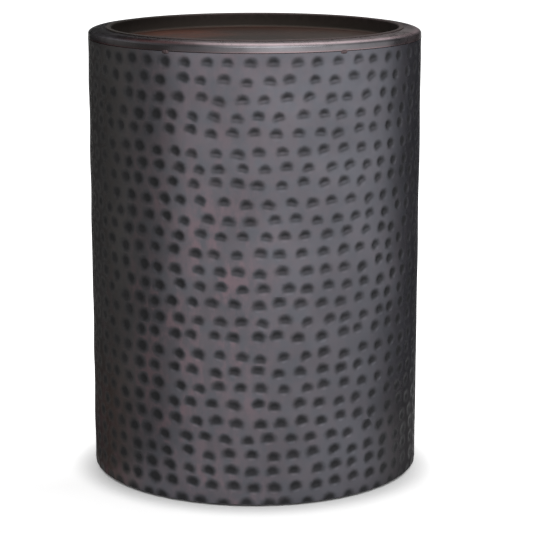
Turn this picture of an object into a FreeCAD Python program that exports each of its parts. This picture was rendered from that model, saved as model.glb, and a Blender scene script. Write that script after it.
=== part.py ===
import FreeCAD, Part
import math
import os

# Drum side table in hammered sheet metal: a rolled drum, a rim ring with a flat ledge, and a sunken tray.
# Millimetres. The origin is on the floor below the drum's centre, +Z is up and the front faces -Y.
# The drum is hollow and open underneath. A ring inside its foot carries four glides, which it stands on.
# An azimuth is in degrees round the drum: 0 is the front, 90 the right (+X) and 180 the back.

# ---------------------------------------------------------------- driving dimensions
DRUM_DIAMETER = 340.0  # outside of the wall and of the rim's band
RIM_HEIGHT = 457.0  # floor to the flat top of the ledge

# Drum wall
WALL_THICKNESS = 1.2
FOOT_GAP = 2.0  # floor to the wall's lower edge
SEAM_GAP = 1.6  # width of the butt joint at the back
SEAM_AZIMUTH = 180.0
SEAM_BEAD_RADIUS = 2.2  # weld bead along the inside of the joint
SEAM_BEAD_MARGIN = 12.0  # bead's end to the bars above it, and to the base ring below it

# Rim ring
RIM_THICKNESS = 1.5
RIM_BAND_HEIGHT = 9.4  # flat top to the band's lower edge
RIM_EDGE_RADIUS = 4.0  # outside of the rounded edge
LEDGE_WIDTH = 21.5  # outside of the band to the edge of the tray's hole
GROOVE_HEIGHT = 1.8  # open groove between the band and the wall's shoulder

# Tack welds across that groove
TACK_COUNT = 6
TACK_FIRST_AZIMUTH = 30.0
TACK_LENGTH = 7.0
TACK_REACH = 0.9  # how far a tack laps the band above the groove and the wall below it
TACK_PROUD = 0.8  # how far a tack stands out of the wall

# Tray pan
PAN_THICKNESS = 1.2
TRAY_DEPTH = 14.5  # flat top of the ledge down to the tray's floor
PAN_BEND_RADIUS = 3.0  # inside of the bend between floor and side
LIP_WIDTH = 3.5  # how far the lip laps the ledge
LIP_BEND_RADIUS = 1.4  # outside of the bend at the lip's inner edge
LIP_EDGE_RADIUS = 0.5  # rounding of the lip's outer edge
PAN_TACK_COUNT = 6
PAN_TACK_LENGTH = 8.0
PAN_TACK_LEG = 2.5

# Angle bars under the tray
BAR_AZIMUTH = 45.0
BAR_LEG = 20.0
BAR_THICKNESS = 2.5
BAR_WELD_LENGTH = 12.0
BAR_WELD_LEG = 3.0

# Ring inside the foot
RING_WIDTH = 20.0
RING_THICKNESS = 3.0
RING_RECESS = 4.0  # the wall's lower edge up to the ring's underside
STITCH_COUNT = 8
STITCH_LENGTH = 20.0
STITCH_LEG = 3.0

# Glides and their fasteners
GLIDE_NAMES = ("glide_front_right", "glide_back_right", "glide_back_left", "glide_front_left")
GLIDE_FIRST_AZIMUTH = 45.0
GLIDE_DIAMETER = 17.0
GLIDE_EDGE_RADIUS = 1.2
GLIDE_SOCKET_DEPTH = 4.0  # how deep the stud sits in the glide
STUD_DIAMETER = 6.0
STUD_PROUD = 2.0  # stud's end above the nut
STUD_CHAMFER = 0.7
WASHER_DIAMETER = 12.0
WASHER_THICKNESS = 1.6
NUT_ACROSS_FLATS = 10.0
NUT_THICKNESS = 5.0

# Clearances
SLIP_FIT = 0.3  # between sheet-metal parts that slide into each other, on the radius
WELD_GAP = 0.2  # between a bar or ring and the wall that it is welded to
SOCKET_CLEARANCE = 0.05  # stud in glide, on the radius
THREAD_CLEARANCE = 0.05  # stud in nut, on the radius
HOLE_CLEARANCE = 0.3  # stud in the ring and in the washer, on the radius

# ---------------------------------------------------------------- worked-out sizes
DRUM_RADIUS = DRUM_DIAMETER / 2
WALL_INSIDE = DRUM_RADIUS - WALL_THICKNESS

BAND_BOTTOM = RIM_HEIGHT - RIM_BAND_HEIGHT
LEDGE_UNDERSIDE = RIM_HEIGHT - RIM_THICKNESS
HOLE_RADIUS = DRUM_RADIUS - LEDGE_WIDTH

SHOULDER = BAND_BOTTOM - GROOVE_HEIGHT
NECK_RADIUS = DRUM_RADIUS - RIM_THICKNESS - SLIP_FIT
RIM_BEND_INSIDE = RIM_EDGE_RADIUS - RIM_THICKNESS
# The neck ends just below the inside of the rim's rounded edge, which curves down over it.
NECK_RISE = math.sqrt(SLIP_FIT * (2 * RIM_BEND_INSIDE - SLIP_FIT))
NECK_TOP = RIM_HEIGHT - RIM_EDGE_RADIUS + NECK_RISE - SLIP_FIT

PAN_OUTSIDE = HOLE_RADIUS - SLIP_FIT
PAN_INSIDE = PAN_OUTSIDE - PAN_THICKNESS
PAN_FLOOR = RIM_HEIGHT - TRAY_DEPTH
PAN_UNDERSIDE = PAN_FLOOR - PAN_THICKNESS

BAR_REACH = WALL_INSIDE - WELD_GAP
BAR_LEG_UNDERSIDE = PAN_UNDERSIDE - BAR_THICKNESS
BAR_BOTTOM = PAN_UNDERSIDE - BAR_LEG

RING_OUTSIDE = WALL_INSIDE - WELD_GAP
RING_INSIDE = RING_OUTSIDE - RING_WIDTH
RING_UNDERSIDE = FOOT_GAP + RING_RECESS
RING_TOP = RING_UNDERSIDE + RING_THICKNESS

GLIDE_CIRCLE = (RING_OUTSIDE + RING_INSIDE) / 2
STUD_RADIUS = STUD_DIAMETER / 2
STUD_BOTTOM = RING_UNDERSIDE - GLIDE_SOCKET_DEPTH
WASHER_TOP = RING_TOP + WASHER_THICKNESS
NUT_TOP = WASHER_TOP + NUT_THICKNESS
STUD_TOP = NUT_TOP + STUD_PROUD

CENTRE = FreeCAD.Vector(0, 0, 0)
UP = FreeCAD.Vector(0, 0, 1)
FULL_TURN = 360.0
QUARTER_TURN = 90.0
FRONT_TURN = -90.0  # turns a profile, which is drawn on +X, to the front


# ---------------------------------------------------------------- helpers
def profile(corners):
    """A face in the XZ plane from (radius, height) or (radius, height, corner rounding) in order round it."""
    places = [FreeCAD.Vector(corner[0], 0, corner[1]) for corner in corners]
    roundings = [corner[2] if len(corner) > 2 else 0.0 for corner in corners]
    arcs = []
    for index, here in enumerate(places):
        back = (places[index - 1] - here).normalize()
        ahead = (places[(index + 1) % len(places)] - here).normalize()
        half_turn = back.getAngle(ahead) / 2
        setback = roundings[index] / math.tan(half_turn)
        inward = (back + ahead).normalize()
        middle = here + inward * (roundings[index] / math.sin(half_turn) - roundings[index])
        arcs.append((here + back * setback, middle, here + ahead * setback))
    edges = []
    for index, (start, middle, end) in enumerate(arcs):
        if roundings[index] > 0:
            edges.append(Part.Arc(start, middle, end).toShape())
        following = arcs[(index + 1) % len(arcs)][0]
        edges.append(Part.LineSegment(end, following).toShape())
    return Part.Face(Part.Wire(edges))


def turned(corners):
    """The solid of a profile turned all the way round the drum's axis."""
    return profile(corners).revolve(CENTRE, UP, FULL_TURN)


def sector(corners, azimuth, angle):
    """The solid of a profile turned through part of a circle, with its middle at an azimuth."""
    solid = profile(corners).revolve(CENTRE, UP, angle)
    solid.rotate(CENTRE, UP, FRONT_TURN + azimuth - angle / 2)
    return solid


def bead(corners, azimuth, length, radius):
    """A weld bead of a given length along a circle of the given radius."""
    return sector(corners, azimuth, math.degrees(length / radius))


def tube(outer_radius, inner_radius, bottom, top):
    """An upright tube about the origin."""
    corners = [(inner_radius, bottom), (outer_radius, bottom), (outer_radius, top), (inner_radius, top)]
    return turned(corners)


def box(x_range, y_range, z_range):
    """A box from its ranges along X, Y and Z."""
    corner = FreeCAD.Vector(x_range[0], y_range[0], z_range[0])
    return Part.makeBox(x_range[1] - x_range[0], y_range[1] - y_range[0], z_range[1] - z_range[0], corner)


def spread(count, first_azimuth):
    """Azimuths of a pattern of pieces spaced evenly round the drum."""
    return [first_azimuth + FULL_TURN * index / count for index in range(count)]


def at_glides(shape):
    """Copies of a shape made about the origin, one for each glide, moved out to the glide circle."""
    copies = []
    for azimuth in spread(len(GLIDE_NAMES), GLIDE_FIRST_AZIMUTH):
        copy = shape.copy()
        copy.translate(FreeCAD.Vector(GLIDE_CIRCLE, 0, 0))
        copy.rotate(CENTRE, UP, FRONT_TURN + azimuth)
        copies.append(copy)
    return copies


# ---------------------------------------------------------------- drum wall
def wall_profile():
    """Section of the rolled sheet: straight up to the shoulder, then stepped in to the neck under the rim."""
    step_turn = math.atan2(DRUM_RADIUS - NECK_RADIUS, GROOVE_HEIGHT)
    drop = WALL_THICKNESS * math.tan(step_turn / 2)
    return [
        (DRUM_RADIUS, FOOT_GAP),
        (DRUM_RADIUS, SHOULDER),
        (NECK_RADIUS, BAND_BOTTOM),
        (NECK_RADIUS, NECK_TOP),
        (NECK_RADIUS - WALL_THICKNESS, NECK_TOP),
        (NECK_RADIUS - WALL_THICKNESS, BAND_BOTTOM - drop),
        (WALL_INSIDE, SHOULDER - drop),
        (WALL_INSIDE, FOOT_GAP),
    ]


def seam_angle():
    """Angle that the butt joint takes out of the rolled sheet."""
    return math.degrees(SEAM_GAP / DRUM_RADIUS)


def make_drum_wall():
    """The rolled sheet, with its two edges a seam's width apart at the back."""
    return sector(wall_profile(), SEAM_AZIMUTH + FULL_TURN / 2, FULL_TURN - seam_angle())


def make_wall_seam_weld():
    """The weld that fills the butt joint, dressed flush outside and left as a bead inside."""
    filling = sector(wall_profile(), SEAM_AZIMUTH, seam_angle())
    bottom = RING_TOP + SEAM_BEAD_MARGIN
    top = BAR_BOTTOM - SEAM_BEAD_MARGIN
    strip = Part.makeCylinder(SEAM_BEAD_RADIUS, top - bottom, FreeCAD.Vector(WALL_INSIDE, 0, bottom), UP)
    strip.rotate(CENTRE, UP, FRONT_TURN + SEAM_AZIMUTH)
    core = Part.makeCylinder(WALL_INSIDE, top - bottom, FreeCAD.Vector(0, 0, bottom), UP)
    return filling.fuse(strip.common(core)).removeSplitter()


# ---------------------------------------------------------------- rim
def make_rim_ring():
    """One spun ring: the flat ledge, the rounded outer edge and the band that covers the wall's neck."""
    return turned(
        [
            (DRUM_RADIUS, BAND_BOTTOM),
            (DRUM_RADIUS, RIM_HEIGHT, RIM_EDGE_RADIUS),
            (HOLE_RADIUS, RIM_HEIGHT),
            (HOLE_RADIUS, LEDGE_UNDERSIDE),
            (DRUM_RADIUS - RIM_THICKNESS, LEDGE_UNDERSIDE, RIM_BEND_INSIDE),
            (DRUM_RADIUS - RIM_THICKNESS, BAND_BOTTOM),
        ]
    )


def make_rim_tack_welds():
    """Tacks that fill the groove below the band and lap the band and the wall."""
    proud = DRUM_RADIUS + TACK_PROUD
    corners = [
        (DRUM_RADIUS, SHOULDER),
        (DRUM_RADIUS, SHOULDER - TACK_REACH),
        (proud, SHOULDER, TACK_PROUD / 2),
        (proud, BAND_BOTTOM, TACK_PROUD / 2),
        (DRUM_RADIUS, BAND_BOTTOM + TACK_REACH),
        (DRUM_RADIUS, BAND_BOTTOM),
        (NECK_RADIUS, BAND_BOTTOM),
    ]
    azimuths = spread(TACK_COUNT, TACK_FIRST_AZIMUTH)
    return [bead(corners, azimuth, TACK_LENGTH, DRUM_RADIUS) for azimuth in azimuths]


# ---------------------------------------------------------------- tray
def make_tray_pan():
    """The spun pan, which hangs in the ledge's hole by its lip."""
    return turned(
        [
            (0, PAN_UNDERSIDE),
            (PAN_OUTSIDE, PAN_UNDERSIDE, PAN_BEND_RADIUS + PAN_THICKNESS),
            (PAN_OUTSIDE, RIM_HEIGHT),
            (HOLE_RADIUS + LIP_WIDTH, RIM_HEIGHT),
            (HOLE_RADIUS + LIP_WIDTH, RIM_HEIGHT + PAN_THICKNESS, LIP_EDGE_RADIUS),
            (PAN_INSIDE, RIM_HEIGHT + PAN_THICKNESS, LIP_BEND_RADIUS),
            (PAN_INSIDE, PAN_FLOOR, PAN_BEND_RADIUS),
            (0, PAN_FLOOR),
        ]
    )


def make_pan_tack_welds():
    """Short fillets in the corner between the pan's side and the ledge's underside."""
    corners = [
        (PAN_OUTSIDE, LEDGE_UNDERSIDE),
        (PAN_OUTSIDE, LEDGE_UNDERSIDE - PAN_TACK_LEG),
        (HOLE_RADIUS + PAN_TACK_LEG, LEDGE_UNDERSIDE),
    ]
    return [bead(corners, azimuth, PAN_TACK_LENGTH, PAN_OUTSIDE) for azimuth in spread(PAN_TACK_COUNT, 0.0)]


# ---------------------------------------------------------------- bars under the tray
def angle_bar(start, end):
    """An angle bar along X with its flat leg up against the tray and its other leg hanging at -Y."""
    side = BAR_LEG / 2
    flat_leg = box((start, end), (-side, side), (BAR_LEG_UNDERSIDE, PAN_UNDERSIDE))
    hanging_leg = box((start, end), (-side, -side + BAR_THICKNESS), (BAR_BOTTOM, PAN_UNDERSIDE))
    reach = Part.makeCylinder(BAR_REACH, BAR_LEG, FreeCAD.Vector(0, 0, BAR_BOTTOM), UP)
    return flat_leg.fuse(hanging_leg).removeSplitter().common(reach)


def at_bar(shape, quarter_turns):
    """A shape made along X, turned onto the bars' azimuth and on by a number of quarter turns."""
    shape.rotate(CENTRE, UP, FRONT_TURN + BAR_AZIMUTH + QUARTER_TURN * quarter_turns)
    return shape


def make_cross_bar():
    """The bar that runs right across the drum."""
    return at_bar(angle_bar(-DRUM_RADIUS, DRUM_RADIUS), 0)


def make_half_bar(quarter_turns):
    """A half-length bar from the cross bar's side out to the wall."""
    return at_bar(angle_bar(BAR_LEG / 2 + WELD_GAP, DRUM_RADIUS), quarter_turns)


def make_cross_bar_welds():
    """Fillets where the four bar ends meet the wall, and beads at the two joints in the middle."""
    corner = [
        (WALL_INSIDE, BAR_LEG_UNDERSIDE),
        (WALL_INSIDE - BAR_WELD_LEG, BAR_LEG_UNDERSIDE),
        (WALL_INSIDE, BAR_LEG_UNDERSIDE - BAR_WELD_LEG),
    ]
    # The middle of the flat leg's free underside is this far to the side of the bar's centre line.
    aside = BAR_THICKNESS / 2
    turn_aside = math.degrees(aside / WALL_INSIDE)
    welds = []
    for quarter in range(4):
        # The cross bar's far end has its hanging leg on the other hand.
        hand = -1 if quarter == 2 else 1
        azimuth = BAR_AZIMUTH + QUARTER_TURN * quarter + hand * turn_aside
        welds.append(bead(corner, azimuth, BAR_WELD_LENGTH, WALL_INSIDE))

    side = BAR_LEG / 2
    along = FreeCAD.Vector(1, 0, 0)
    # At -Y the half bar's flat leg meets the cross bar's hanging leg, which makes an inside corner.
    first = FreeCAD.Vector(aside - BAR_WELD_LENGTH / 2, -side, BAR_LEG_UNDERSIDE)
    outward = first + FreeCAD.Vector(0, -BAR_WELD_LEG, 0)
    down = first + FreeCAD.Vector(0, 0, -BAR_WELD_LEG)
    triangle = Part.Face(Part.makePolygon([first, outward, down, first]))
    welds.append(at_bar(triangle.extrude(along * BAR_WELD_LENGTH), 0))
    # At +Y two flat legs meet edge to edge, with a half-round bead below them.
    start = FreeCAD.Vector(-aside - BAR_WELD_LENGTH / 2, side + WELD_GAP / 2, BAR_LEG_UNDERSIDE)
    rod = Part.makeCylinder(BAR_WELD_LEG / 2, BAR_WELD_LENGTH, start, along)
    below = box((-side, side), (0, BAR_LEG), (BAR_BOTTOM, BAR_LEG_UNDERSIDE))
    welds.append(at_bar(rod.common(below), 0))
    return welds


# ---------------------------------------------------------------- foot
def make_base_ring():
    """The flat ring inside the foot, with a hole for each glide's stud."""
    ring = tube(RING_OUTSIDE, RING_INSIDE, RING_UNDERSIDE, RING_TOP)
    drill = Part.makeCylinder(
        STUD_RADIUS + HOLE_CLEARANCE, RING_THICKNESS, FreeCAD.Vector(0, 0, RING_UNDERSIDE), UP
    )
    return ring.cut(at_glides(drill))


def make_base_ring_welds():
    """Stitches in the corner between the ring's top and the wall, clear of the glides and the seam."""
    corners = [
        (WALL_INSIDE, RING_TOP),
        (WALL_INSIDE, RING_TOP + STITCH_LEG),
        (WALL_INSIDE - STITCH_LEG, RING_TOP),
    ]
    first_azimuth = FULL_TURN / STITCH_COUNT / 2
    azimuths = spread(STITCH_COUNT, first_azimuth)
    return [bead(corners, azimuth, STITCH_LENGTH, WALL_INSIDE) for azimuth in azimuths]


def make_glides():
    """Round plastic glides with a socket for their studs, seated against the ring's underside."""
    radius = GLIDE_DIAMETER / 2
    socket = STUD_RADIUS + SOCKET_CLEARANCE
    pad = turned(
        [
            (0, 0),
            (radius, 0, GLIDE_EDGE_RADIUS),
            (radius, RING_UNDERSIDE),
            (socket, RING_UNDERSIDE),
            (socket, STUD_BOTTOM),
            (0, STUD_BOTTOM),
        ]
    )
    return at_glides(pad)


def make_glide_studs():
    """A plain stud for each glide, up through the ring, the washer and the nut."""
    end = STUD_RADIUS - STUD_CHAMFER
    stud = turned(
        [
            (0, STUD_BOTTOM),
            (STUD_RADIUS, STUD_BOTTOM),
            (STUD_RADIUS, STUD_TOP - STUD_CHAMFER),
            (end, STUD_TOP),
            (0, STUD_TOP),
        ]
    )
    return at_glides(stud)


def make_glide_washers():
    """A washer for each stud, on the ring's top."""
    washer = tube(WASHER_DIAMETER / 2, STUD_RADIUS + HOLE_CLEARANCE, RING_TOP, WASHER_TOP)
    return at_glides(washer)


def make_glide_nuts():
    """A hexagon nut for each stud, on its washer."""
    corner_radius = NUT_ACROSS_FLATS / 2 / math.cos(math.radians(30))
    corners = []
    for index in range(7):
        angle = math.radians(60 * index)
        corners.append(
            FreeCAD.Vector(corner_radius * math.cos(angle), corner_radius * math.sin(angle), WASHER_TOP)
        )
    hexagon = Part.Face(Part.makePolygon(corners)).extrude(FreeCAD.Vector(0, 0, NUT_THICKNESS))
    bore = Part.makeCylinder(
        STUD_RADIUS + THREAD_CLEARANCE, NUT_THICKNESS, FreeCAD.Vector(0, 0, WASHER_TOP), UP
    )
    return at_glides(hexagon.cut(bore))


# ---------------------------------------------------------------- parts
def export(name, shape):
    """Writes one node: a solid, or a list of identical fasteners or welds as a group of solids."""
    group = Part.makeCompound(shape) if isinstance(shape, list) else shape
    group.exportStep(os.path.join("parts", name + ".step"))


def main():
    """Builds every piece and writes its file."""
    os.makedirs("parts", exist_ok=True)
    export("drum_wall", make_drum_wall())
    export("wall_seam_weld", make_wall_seam_weld())
    export("rim_ring", make_rim_ring())
    export("rim_tack_welds", make_rim_tack_welds())
    export("tray_pan", make_tray_pan())
    export("pan_tack_welds", make_pan_tack_welds())
    export("cross_bar", make_cross_bar())
    export("cross_bar_half_back", make_half_bar(1))
    export("cross_bar_half_front", make_half_bar(-1))
    export("cross_bar_welds", make_cross_bar_welds())
    export("base_ring", make_base_ring())
    export("base_ring_welds", make_base_ring_welds())
    for name, glide in zip(GLIDE_NAMES, make_glides()):
        export(name, glide)
    export("glide_studs", make_glide_studs())
    export("glide_washers", make_glide_washers())
    export("glide_nuts", make_glide_nuts())


main()
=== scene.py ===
"""Finish and detail of a hammered drum side table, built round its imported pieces.

Metres, with +Z up and the front at -Y. An azimuth is an angle in radians round the drum: 0 is the
front, a quarter turn the right (+X) and half a turn the back, where the rolled sheet is joined.
"""

import logging
import math
from dataclasses import dataclass, field
from enum import Enum
from typing import Callable, NamedTuple, Sequence

import bpy
import numpy as np
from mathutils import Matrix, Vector


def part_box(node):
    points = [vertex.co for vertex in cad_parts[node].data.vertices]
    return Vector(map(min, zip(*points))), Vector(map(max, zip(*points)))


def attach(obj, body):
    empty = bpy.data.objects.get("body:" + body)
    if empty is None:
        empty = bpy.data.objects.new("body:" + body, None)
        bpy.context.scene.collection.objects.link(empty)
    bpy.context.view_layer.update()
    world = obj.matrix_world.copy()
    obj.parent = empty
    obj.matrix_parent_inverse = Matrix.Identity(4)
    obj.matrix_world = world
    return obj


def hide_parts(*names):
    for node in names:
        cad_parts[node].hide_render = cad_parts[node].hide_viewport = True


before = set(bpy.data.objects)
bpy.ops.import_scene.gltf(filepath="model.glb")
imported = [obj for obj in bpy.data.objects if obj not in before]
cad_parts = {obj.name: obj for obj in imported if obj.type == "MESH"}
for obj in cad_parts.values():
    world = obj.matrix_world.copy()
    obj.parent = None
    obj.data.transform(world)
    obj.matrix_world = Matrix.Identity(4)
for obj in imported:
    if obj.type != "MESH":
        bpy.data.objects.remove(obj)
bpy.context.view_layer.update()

MM = 0.001
ROOT_BODY = "root"
LEDGE_WIDTH = 21.5 * MM  # outside of the band to the edge of the tray's hole
WALL_THICKNESS = 1.2 * MM
RIM_THICKNESS = 1.5 * MM
PAN_THICKNESS = 1.2 * MM
SLIP_FIT = 0.3 * MM  # between sheet-metal parts that slide into each other
GROOVE_HEIGHT = 1.8 * MM  # open groove between the rim's band and the wall's shoulder
SEAM_GAP = 1.6 * MM  # width of the butt joint at the back
ROUNDING_STEPS = 6  # segments along a rounding of the rim and the pan
SUPPORT = 0.5 * MM  # from such a rounding to the point that keeps the flat beside it flat
PHASES = 6.28  # radians that random phases are drawn from
TOUCH = 0.02 * MM  # distance within which a point counts as lying on a line

MARK_PLACE = "mark_place"  # names of the values that meshes carry for their finishes
# patina strength and painted light of each hammer mark
MARK_PATINA_AND_LIGHT = "mark_patina_and_light"
# rubbed edges, with the painted highlight on the rim's crest
EDGE_WEAR_AND_HIGHLIGHT = "edge_wear_and_highlight"
PATINA_COVER = "patina_cover"

LOG = logging.getLogger("drum_table")
Colour = tuple[float, float, float]
Array = np.ndarray
Object = bpy.types.Object
Material = bpy.types.Material
Socket = bpy.types.NodeSocket
Value = Socket | float


# --- measured sizes
@dataclass(frozen=True)
class TableSizes:
    """Main sizes of the table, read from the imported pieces."""

    drum_radius: float
    foot_level: float
    rim_height: float
    band_bottom: float
    hole_radius: float
    lip_top: float
    lip_radius: float
    tray_underside: float
    ring_top: float

    @classmethod
    def from_frame(cls) -> "TableSizes":
        """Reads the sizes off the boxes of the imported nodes.

        Returns:
            The sizes in metres.
        """
        rim_low, rim_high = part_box("rim_ring")
        pan_low, pan_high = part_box("tray_pan")
        return cls(
            drum_radius=rim_high.x,
            foot_level=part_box("drum_wall")[0].z,
            rim_height=rim_high.z,
            band_bottom=rim_low.z,
            hole_radius=rim_high.x - LEDGE_WIDTH,
            lip_top=pan_high.z,
            lip_radius=pan_high.x,
            tray_underside=pan_low.z,
            ring_top=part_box("base_ring")[1].z,
        )


# --- mesh building
def rising(value: Array, start: float, width: float) -> Array:
    """0 up to the start, then evenly up over the width, and 1 beyond it."""
    return np.clip((value - start) / width, 0, 1)


def eased(share: Array) -> Array:
    """Softens both ends of an even rise from 0 to 1."""
    return share * share * (3 - 2 * share)


def polar(radius: Array, azimuth: Array, height: Array) -> Array:
    """Turns distances from the axis, azimuths and heights into points, with x, y and z on a last axis."""
    radius, azimuth, height = np.broadcast_arrays(radius, azimuth, height)
    return np.stack([radius * np.sin(azimuth), -radius * np.cos(azimuth), height], axis=-1)


def make_object(name: str, points: Array, faces: Sequence[Sequence[int]]) -> Object:
    """Makes a smooth-shaded mesh object and links it to the scene.

    Args:
        name: The piece's name.
        points: Vertices, one row each.
        faces: Vertex indices of each face.

    Returns:
        The new object.
    """
    mesh = bpy.data.meshes.new(name)
    mesh.from_pydata(np.asarray(points, float).reshape(-1, 3).tolist(), [], [list(f) for f in faces])
    mesh.update()
    mesh.shade_smooth()
    made = bpy.data.objects.new(name, mesh)
    bpy.context.scene.collection.objects.link(made)
    return made


def profile(made: Object) -> tuple[Array, Array]:
    """Distances of a mesh object's vertices from the drum's axis, and their heights."""
    points = np.array([vertex.co for vertex in made.data.vertices])
    return np.hypot(points[:, 0], points[:, 1]), points[:, 2]


def set_share(made: Object, name: str, values: Array) -> None:
    """Stores a number for each vertex of a mesh object, for a finish to read."""
    attribute = made.data.attributes.new(name, "FLOAT", "POINT")
    attribute.data.foreach_set("value", np.asarray(values, np.float32).ravel())


def set_corners(made: Object, name: str, first: Array, rest: float) -> None:
    """Stores three numbers per face corner for a finish to read.

    Args:
        made: The mesh object.
        name: The attribute's name.
        first: Rows for the first corners of the mesh.
        rest: Value of all the other corners.
    """
    values = np.full((len(made.data.loops), 3), rest, np.float32)
    values[: len(first)] = first
    attribute = made.data.attributes.new(name, "FLOAT_VECTOR", "CORNER")
    attribute.data.foreach_set("vector", values.ravel())


def rounded_outline(corners: Sequence[tuple[float, float, float]], steps: int, support: float) -> Array:
    """Samples a closed outline with rounded corners.

    Args:
        corners: Radius, height and rounding of each corner, in order round the outline.
        steps: Segments along each rounding.
        support: Distance from a rounding to an extra point that keeps the flat beside it flat.

    Returns:
        Points of the outline, one row of radius and height each.
    """
    places = np.array([corner[:2] for corner in corners], float)
    outline = []
    for index, here in enumerate(places):
        rounding = corners[index][2]
        if rounding <= 0:
            outline.append(here)
            continue
        back = places[index - 1] - here
        ahead = places[(index + 1) % len(places)] - here
        back_room, ahead_room = np.linalg.norm(back), np.linalg.norm(ahead)
        back, ahead = back / back_room, ahead / ahead_room
        half_turn = math.acos(float(np.clip(back @ ahead, -1, 1))) / 2
        setback = rounding / math.tan(half_turn)
        inward = (back + ahead) / np.linalg.norm(back + ahead)
        centre = here + inward * rounding / math.sin(half_turn)
        if back_room > 2 * (setback + support):
            outline.append(here + back * (setback + support))
        first = here + back * setback - centre
        last = here + ahead * setback - centre
        sweep = math.pi - 2 * half_turn
        for share in np.arange(steps + 1) / steps:
            turned_out = math.sin((1 - share) * sweep) * first + math.sin(share * sweep) * last
            outline.append(centre + turned_out / math.sin(sweep))
        if ahead_room > 2 * (setback + support):
            outline.append(here + ahead * (setback + support))
    return np.array(outline)


def turned(
    name: str,
    outline: Array,
    steps: int,
    change: Callable[[Array, Array, Array], tuple[Array, Array]],
    closed: bool = True,
) -> Object:
    """Turns an outline all the way round the drum's axis.

    Args:
        name: The piece's name.
        outline: Radius and height of each point, with the solid on the left going along it.
        steps: Segments round the drum.
        change: Gives the change of radius and of height at arrays of azimuth, radius and height.
        closed: True for an outline that closes on itself, False for one from axis to axis.

    Returns:
        The new object.
    """
    azimuth = np.arange(steps) * math.tau / steps
    around, radius, height = np.broadcast_arrays(azimuth, outline[:, :1], outline[:, 1:])
    outward, upward = change(around, radius, height)
    points = polar(radius + outward, around, height + upward).reshape(-1, 3)
    count = len(outline)
    faces = []
    for row in range(count if closed else count - 1):
        below, above = row * steps, ((row + 1) % count) * steps
        for step in range(steps):
            following = (step + 1) % steps
            faces.append((below + step, below + following, above + following, above + step))
    if not closed:
        first, last = len(points), len(points) + 1
        points = np.vstack([points, [0, 0, outline[0, 1]], [0, 0, outline[-1, 1]]])
        top = (count - 1) * steps
        for step in range(steps):
            following = (step + 1) % steps
            faces.append((first, following, step))
            faces.append((last, top + step, top + following))
    return make_object(name, points, faces)


def swept(origins: Array, first: Array, second: Array, sections: Array) -> tuple[Array, list[list[int]]]:
    """Sweeps a closed section along stations, with flat ends.

    Args:
        origins: Place of each station.
        first: Direction of the section's first axis at each station.
        second: Direction of its second axis at each station.
        sections: For each station, the section's points along the two axes, counter-clockwise seen
            against the direction of the sweep.

    Returns:
        The points, and the faces as indices into them.
    """
    points = origins[:, None] + sections[..., :1] * first[:, None] + sections[..., 1:] * second[:, None]
    stations, count = sections.shape[:2]
    faces = []
    for station in range(stations - 1):
        here, ahead = station * count, (station + 1) * count
        for index in range(count):
            following = (index + 1) % count
            faces.append([here + index, here + following, ahead + following, ahead + index])
    faces.append(list(range(count))[::-1])
    faces.append(list(range((stations - 1) * count, stations * count)))
    return points.reshape(-1, 3), faces


def joined(name: str, parts: Sequence[tuple[Array, list[list[int]]]]) -> Object:
    """Makes one object of several separate solids.

    Args:
        name: The piece's name.
        parts: Points and faces of each solid.

    Returns:
        The new object.
    """
    points, faces, used = [], [], 0
    for part_points, part_faces in parts:
        points.append(part_points)
        faces.extend([[used + index for index in face] for face in part_faces])
        used += len(part_points)
    return make_object(name, np.vstack(points), faces)


# --- finishes
class Noise(NamedTuple):
    """A smooth random pattern from 0 to 1."""

    size: float  # of its patches, in metres
    detail: float  # octaves of finer noise
    roughness: float  # strength of the finer noise
    shift: float = 0.0  # a fourth coordinate, so that two patterns of one size differ


class Ramp(NamedTuple):
    """A smooth change over a range of some value, held on both sides of it."""

    low: float  # where it begins
    high: float  # where it ends
    to_low: float = 0.0  # the result before it
    to_high: float = 1.0  # the result after it

    def above(self, level: float) -> "Ramp":
        """The same change over a range that is counted from a level."""
        return self._replace(low=level + self.low, high=level + self.high)


class Oval(NamedTuple):
    """An oval patch with a soft edge."""

    middle: tuple[float, float]
    half_width: float
    half_height: float
    fade: Ramp  # over the distance from its middle, which is 1 on its outline


SPREAD = Ramp(0.3, 0.7)  # most of a noise's range
WHITE: Colour = (1.0, 1.0, 1.0)


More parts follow.
